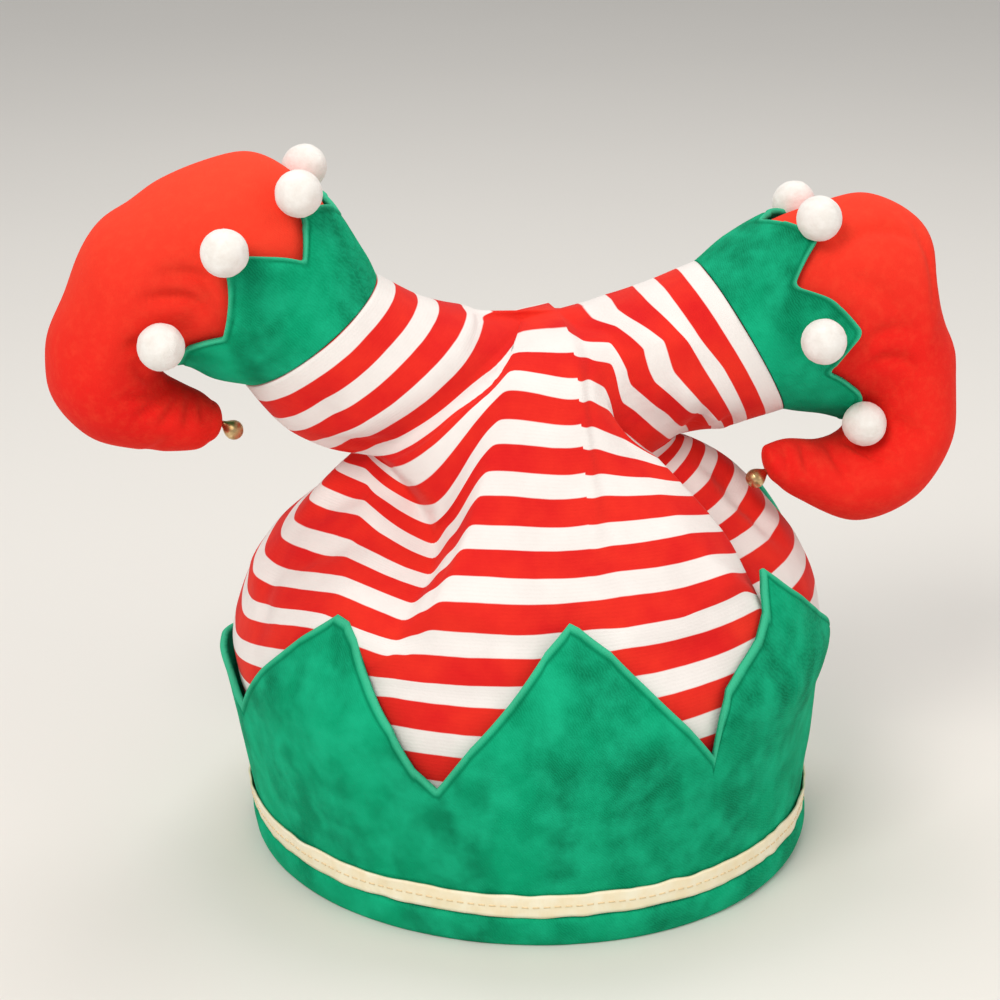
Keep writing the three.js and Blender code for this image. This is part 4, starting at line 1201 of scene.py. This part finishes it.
def makeCuff(side):
    size = cuffSizes
    degrees = np.linspace(0, 360, size["steps"] + 1)
    folded = np.where(degrees > 180, 360 - degrees, degrees)
    reach = smoothed(lineAt(cuffEdge[side], folded)[:-1], cuffRound[side], "wrap")
    reach = np.append(reach, reach[0])
    angles = np.radians(degrees)[None]
    shares = np.concatenate([np.linspace(0, size["evenTo"], size["rows"]), size["edgeRows"]])
    index = shares[:, None] * reach[None]
    field = shoePoints(side, index, angles, 0)
    toEdge = np.linalg.norm(field - field[-1:], axis=-1)
    roll, groove, pale = turnedEdge(toEdge, cuffRim)
    onPoint = np.cos(np.radians(folded * size["flareTurns"])) < 0
    flare = softStep((shares - size["flareFrom"]) / (1 - size["flareFrom"]))[:, None]
    flare = flare * np.where(onPoint, size["flareHigh"], size["flareLow"])[None] * size["flare"]
    wave = layeredNoise(field, cuffBlobs) * softStep(shares / size["waveFrom"])[:, None]
    out = size["gap"] + size["wall"] + flare + wave + roll - groove * cuffRim["grooveDepth"]
    outer = shoePoints(side, index, angles, out)
    inner = shoePoints(side, index, angles, np.maximum(size["gap"] + flare + wave, size["leastGap"]))
    lip = (inner[-1] + outer[-1]) / 2 + (field[-1] - field[-2]) * size["lipReach"]
    points = np.concatenate([inner[:1], outer, lip[None], inner[::-1]])
    points[:, -1] = points[:, 0]
    rimHighlights, grooveShades = np.zeros(points.shape[:2]), np.zeros(points.shape[:2])
    last = 1 + len(outer)
    # painted highlight along the cuff's edge and its lip
    rimHighlights[1:last] = pale
    rimHighlights[last] = 1
    # painted shade in the cuff's sewn groove
    grooveShades[1:last] = groove
    grid = {"points": points, "rim": rimHighlights, "groove": grooveShades, "flip": side == "left"}
    piece = gridMesh("shoe_cuff_%s_velvet" % side, [grid], ("rim", "groove"))
    settle(piece, greenVelvetLook, "green_velvet", "shoe_cuff_%s" % side)


for side in sides:
    makeShoe(side)
    makeCuff(side)
print("shoes and cuffs made")

ballSizes = {"radius": 7.7, "detail": 5, "lump": 0.7, "lumpSize": 170.0, "fuzz": 0.24, "fuzzSize": 900.0}
ballsPerCuff = 6


# a tree for one felted foam ball: a fine sphere pushed about by two noises
def ballTree():
    tree, given = startTree("foamBall", Radius="Float", Lump="Float", Fuzz="Float", Seed="Float",
                            Foam="Material")
    ball = addNode(tree, "GeometryNodeMeshIcoSphere",
                   {"Subdivisions": ballSizes["detail"], "Radius": given["Radius"]})
    place = addNode(tree, "GeometryNodeInputPosition").outputs[0]
    normal = addNode(tree, "GeometryNodeInputNormal").outputs[0]
    pushes = []
    for scale, amount in ((ballSizes["lumpSize"], given["Lump"]), (ballSizes["fuzzSize"], given["Fuzz"])):
        values = {"Vector": place, "W": given["Seed"], "Scale": scale, "Detail": 2.0}
        cloud = addNode(tree, "ShaderNodeTexNoise", values, noise_dimensions="4D")
        centred = addMath(tree, "SUBTRACT", cloud.outputs["Fac"], 0.5)
        pushes.append(addMath(tree, "MULTIPLY", centred, amount))
    push = addMath(tree, "ADD", *pushes)
    offset = addNode(tree, "ShaderNodeVectorMath", {0: normal, "Scale": push}, operation="SCALE").outputs[0]
    moved = addNode(tree, "GeometryNodeSetPosition", {"Geometry": ball.outputs["Mesh"], "Offset": offset})
    return endTree(tree, moved.outputs["Geometry"], given["Foam"])


def makeBalls():
    size = ballSizes
    tree = ballTree()
    names = ["ball_%s_%d" % (side, number + 1) for side in sides for number in range(ballsPerCuff)]
    for seed, node in enumerate(names, 1):
        low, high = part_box(node)
        piece = growPiece(bpy.data.meshes.new(node + "_seed"), node + "_foam", tree, {
            "Radius": size["radius"] * mm, "Lump": size["lump"] * mm, "Fuzz": size["fuzz"] * mm,
            "Seed": float(seed), "Foam": whiteFoamLook})
        piece.data.transform(Matrix.Translation((low + high) / 2))
        settle(piece, whiteFoamLook, "white_foam", node)


makeBalls()
print("balls made")

bellSizes = {"radius": 3.4, "neck": 1.45, "sides": 40}
bellSlot = {"depth": 0.45, "width": 0.5, "top": -0.3, "pinch": 0.06}
# where a bell hangs: share of the way from the toe's tip to its sole, and its closed end's turn in degrees
bellHang = {"left": (0.15, -35.0), "right": (0.4, 213.0)}
# half profile of a bell in bell radii, from its closed end to the eye at the toe
bellProfile = [(0.0, -1.0), (0.26, -0.965), (0.5, -0.866), (0.71, -0.71), (0.87, -0.5), (0.966, -0.26),
               (0.995, -0.05), (1.01, 0.0), (0.995, 0.05), (0.966, 0.26), (0.87, 0.5), (0.72, 0.74),
               (0.53, 0.97), (0.38, 1.16), (0.30, 1.32), (0.26, 1.45), (0.0, 1.45)]


def makeBell(side):
    size = bellSizes
    share, hangTurn = bellHang[side]
    hang = np.array((math.cos(math.radians(hangTurn)), 0.0, math.sin(math.radians(hangTurn))))
    tip = toeTip(side)
    sole = shoePoints(side, len(shoeTables[side]["half"]) - 1, 0.0, 0.0)
    centre = tip + (sole - tip) * share + hang * (size["neck"] * size["radius"] + shoeSizes["sewnGap"])
    up = -hang
    aside = np.cross(up, (0, 1, 0))
    aside /= np.linalg.norm(aside)
    other = np.cross(up, aside)
    turn = np.linspace(0, 2 * np.pi, size["sides"] + 1)
    profile = np.array(bellProfile) * size["radius"]
    out = np.repeat(profile[:, :1], len(turn), 1)
    slot = np.exp(-(np.sin(turn)[None] * out / bellSlot["width"]) ** 2)
    slot = slot * (profile[:, 1:2] < bellSlot["top"] * size["radius"])
    out = out * (1 - bellSlot["pinch"] * slot)
    rise = profile[:, 1:2] + slot * bellSlot["depth"]
    around = np.cos(turn)[None, :, None] * aside + np.sin(turn)[None, :, None] * other
    points = centre + out[..., None] * around + rise[..., None] * up
    points[:, -1] = points[:, 0]
    piece = gridMesh("bell_%s_brass" % side, [{"points": points}])
    settle(piece, brassLook, "brass", "bell_%s" % side)


for side in sides:
    makeBell(side)
print("bells made")


# Stage: pale floor, soft light and the camera

stage = {"floor": (0.80, 0.79, 0.77), "floorShade": 0.97, "floorSize": 6.0, "cloudSize": 3.0, "sky": 0.5,
         "skyTint": (1, 0.98, 0.95, 1)}
camera = {"place": (-151.9, -753.4, 403.7), "pitch": 69.77, "heading": -10.37, "lens": 83.1, "sensor": 36}
lights = {
    "key": {"place": (-0.75, -0.95, 1.25), "aim": 0.12, "size": 0.7, "power": 15, "colour": (1, 0.95, 0.88)},
    "fill": {"place": (1.1, -0.8, 0.7), "aim": 0.12, "size": 0.9, "power": 4.4, "colour": (1, 0.93, 0.85)},
    "top": {"place": (0.2, 0.5, 1.5), "aim": 0.1, "size": 0.8, "power": 8, "colour": (1, 0.97, 0.93)},
}


def makeFloor():
    mesh = bpy.data.meshes.new("floor")
    half = stage["floorSize"] / 2
    corners = [(-half, -half, 0), (half, -half, 0), (half, half, 0), (-half, half, 0)]
    mesh.from_pydata(corners, [], [(0, 1, 2, 3)])
    floor = bpy.data.objects.new("floor", mesh)
    bpy.context.scene.collection.objects.link(floor)
    material, tree, shader = startMaterial("paleFloor", 0.7)
    cloud = addNoise(tree, objectPlace(tree), stage["cloudSize"], 2.0)
    shade = tuple(c * stage["floorShade"] for c in stage["floor"])
    tree.links.new(addMix(tree, cloud, shade, stage["floor"]), shader.inputs["Base Color"])
    mesh.materials.append(material)


def makeLight(name, place, aim, size, power, colour):
    light = bpy.data.lights.new(name, "AREA")
    light.size = size
    light.energy = power
    light.color = colour
    lamp = bpy.data.objects.new(name, light)
    lamp.location = place
    lamp.rotation_euler = (Vector((0, 0, aim)) - Vector(place)).to_track_quat("-Z", "Y").to_euler()
    bpy.context.scene.collection.objects.link(lamp)


def makeStage():
    scene = bpy.context.scene
    makeFloor()
    for name, light in lights.items():
        makeLight(name, **light)
    world = bpy.data.worlds.new("studio")
    world.use_nodes = True
    sky = world.node_tree.nodes["Background"]
    sky.inputs["Color"].default_value = stage["skyTint"]
    sky.inputs["Strength"].default_value = stage["sky"]
    scene.world = world
    scene.view_settings.view_transform = "Standard"
    lens = bpy.data.cameras.new("camera")
    lens.lens = camera["lens"]
    lens.sensor_width = camera["sensor"]
    viewer = bpy.data.objects.new("camera", lens)
    viewer.location = (np.array(camera["place"]) + hatAxis) * mm
    viewer.rotation_euler = (math.radians(camera["pitch"]), 0, math.radians(camera["heading"]))
    scene.collection.objects.link(viewer)
    scene.camera = viewer


makeStage()
print("stage made")
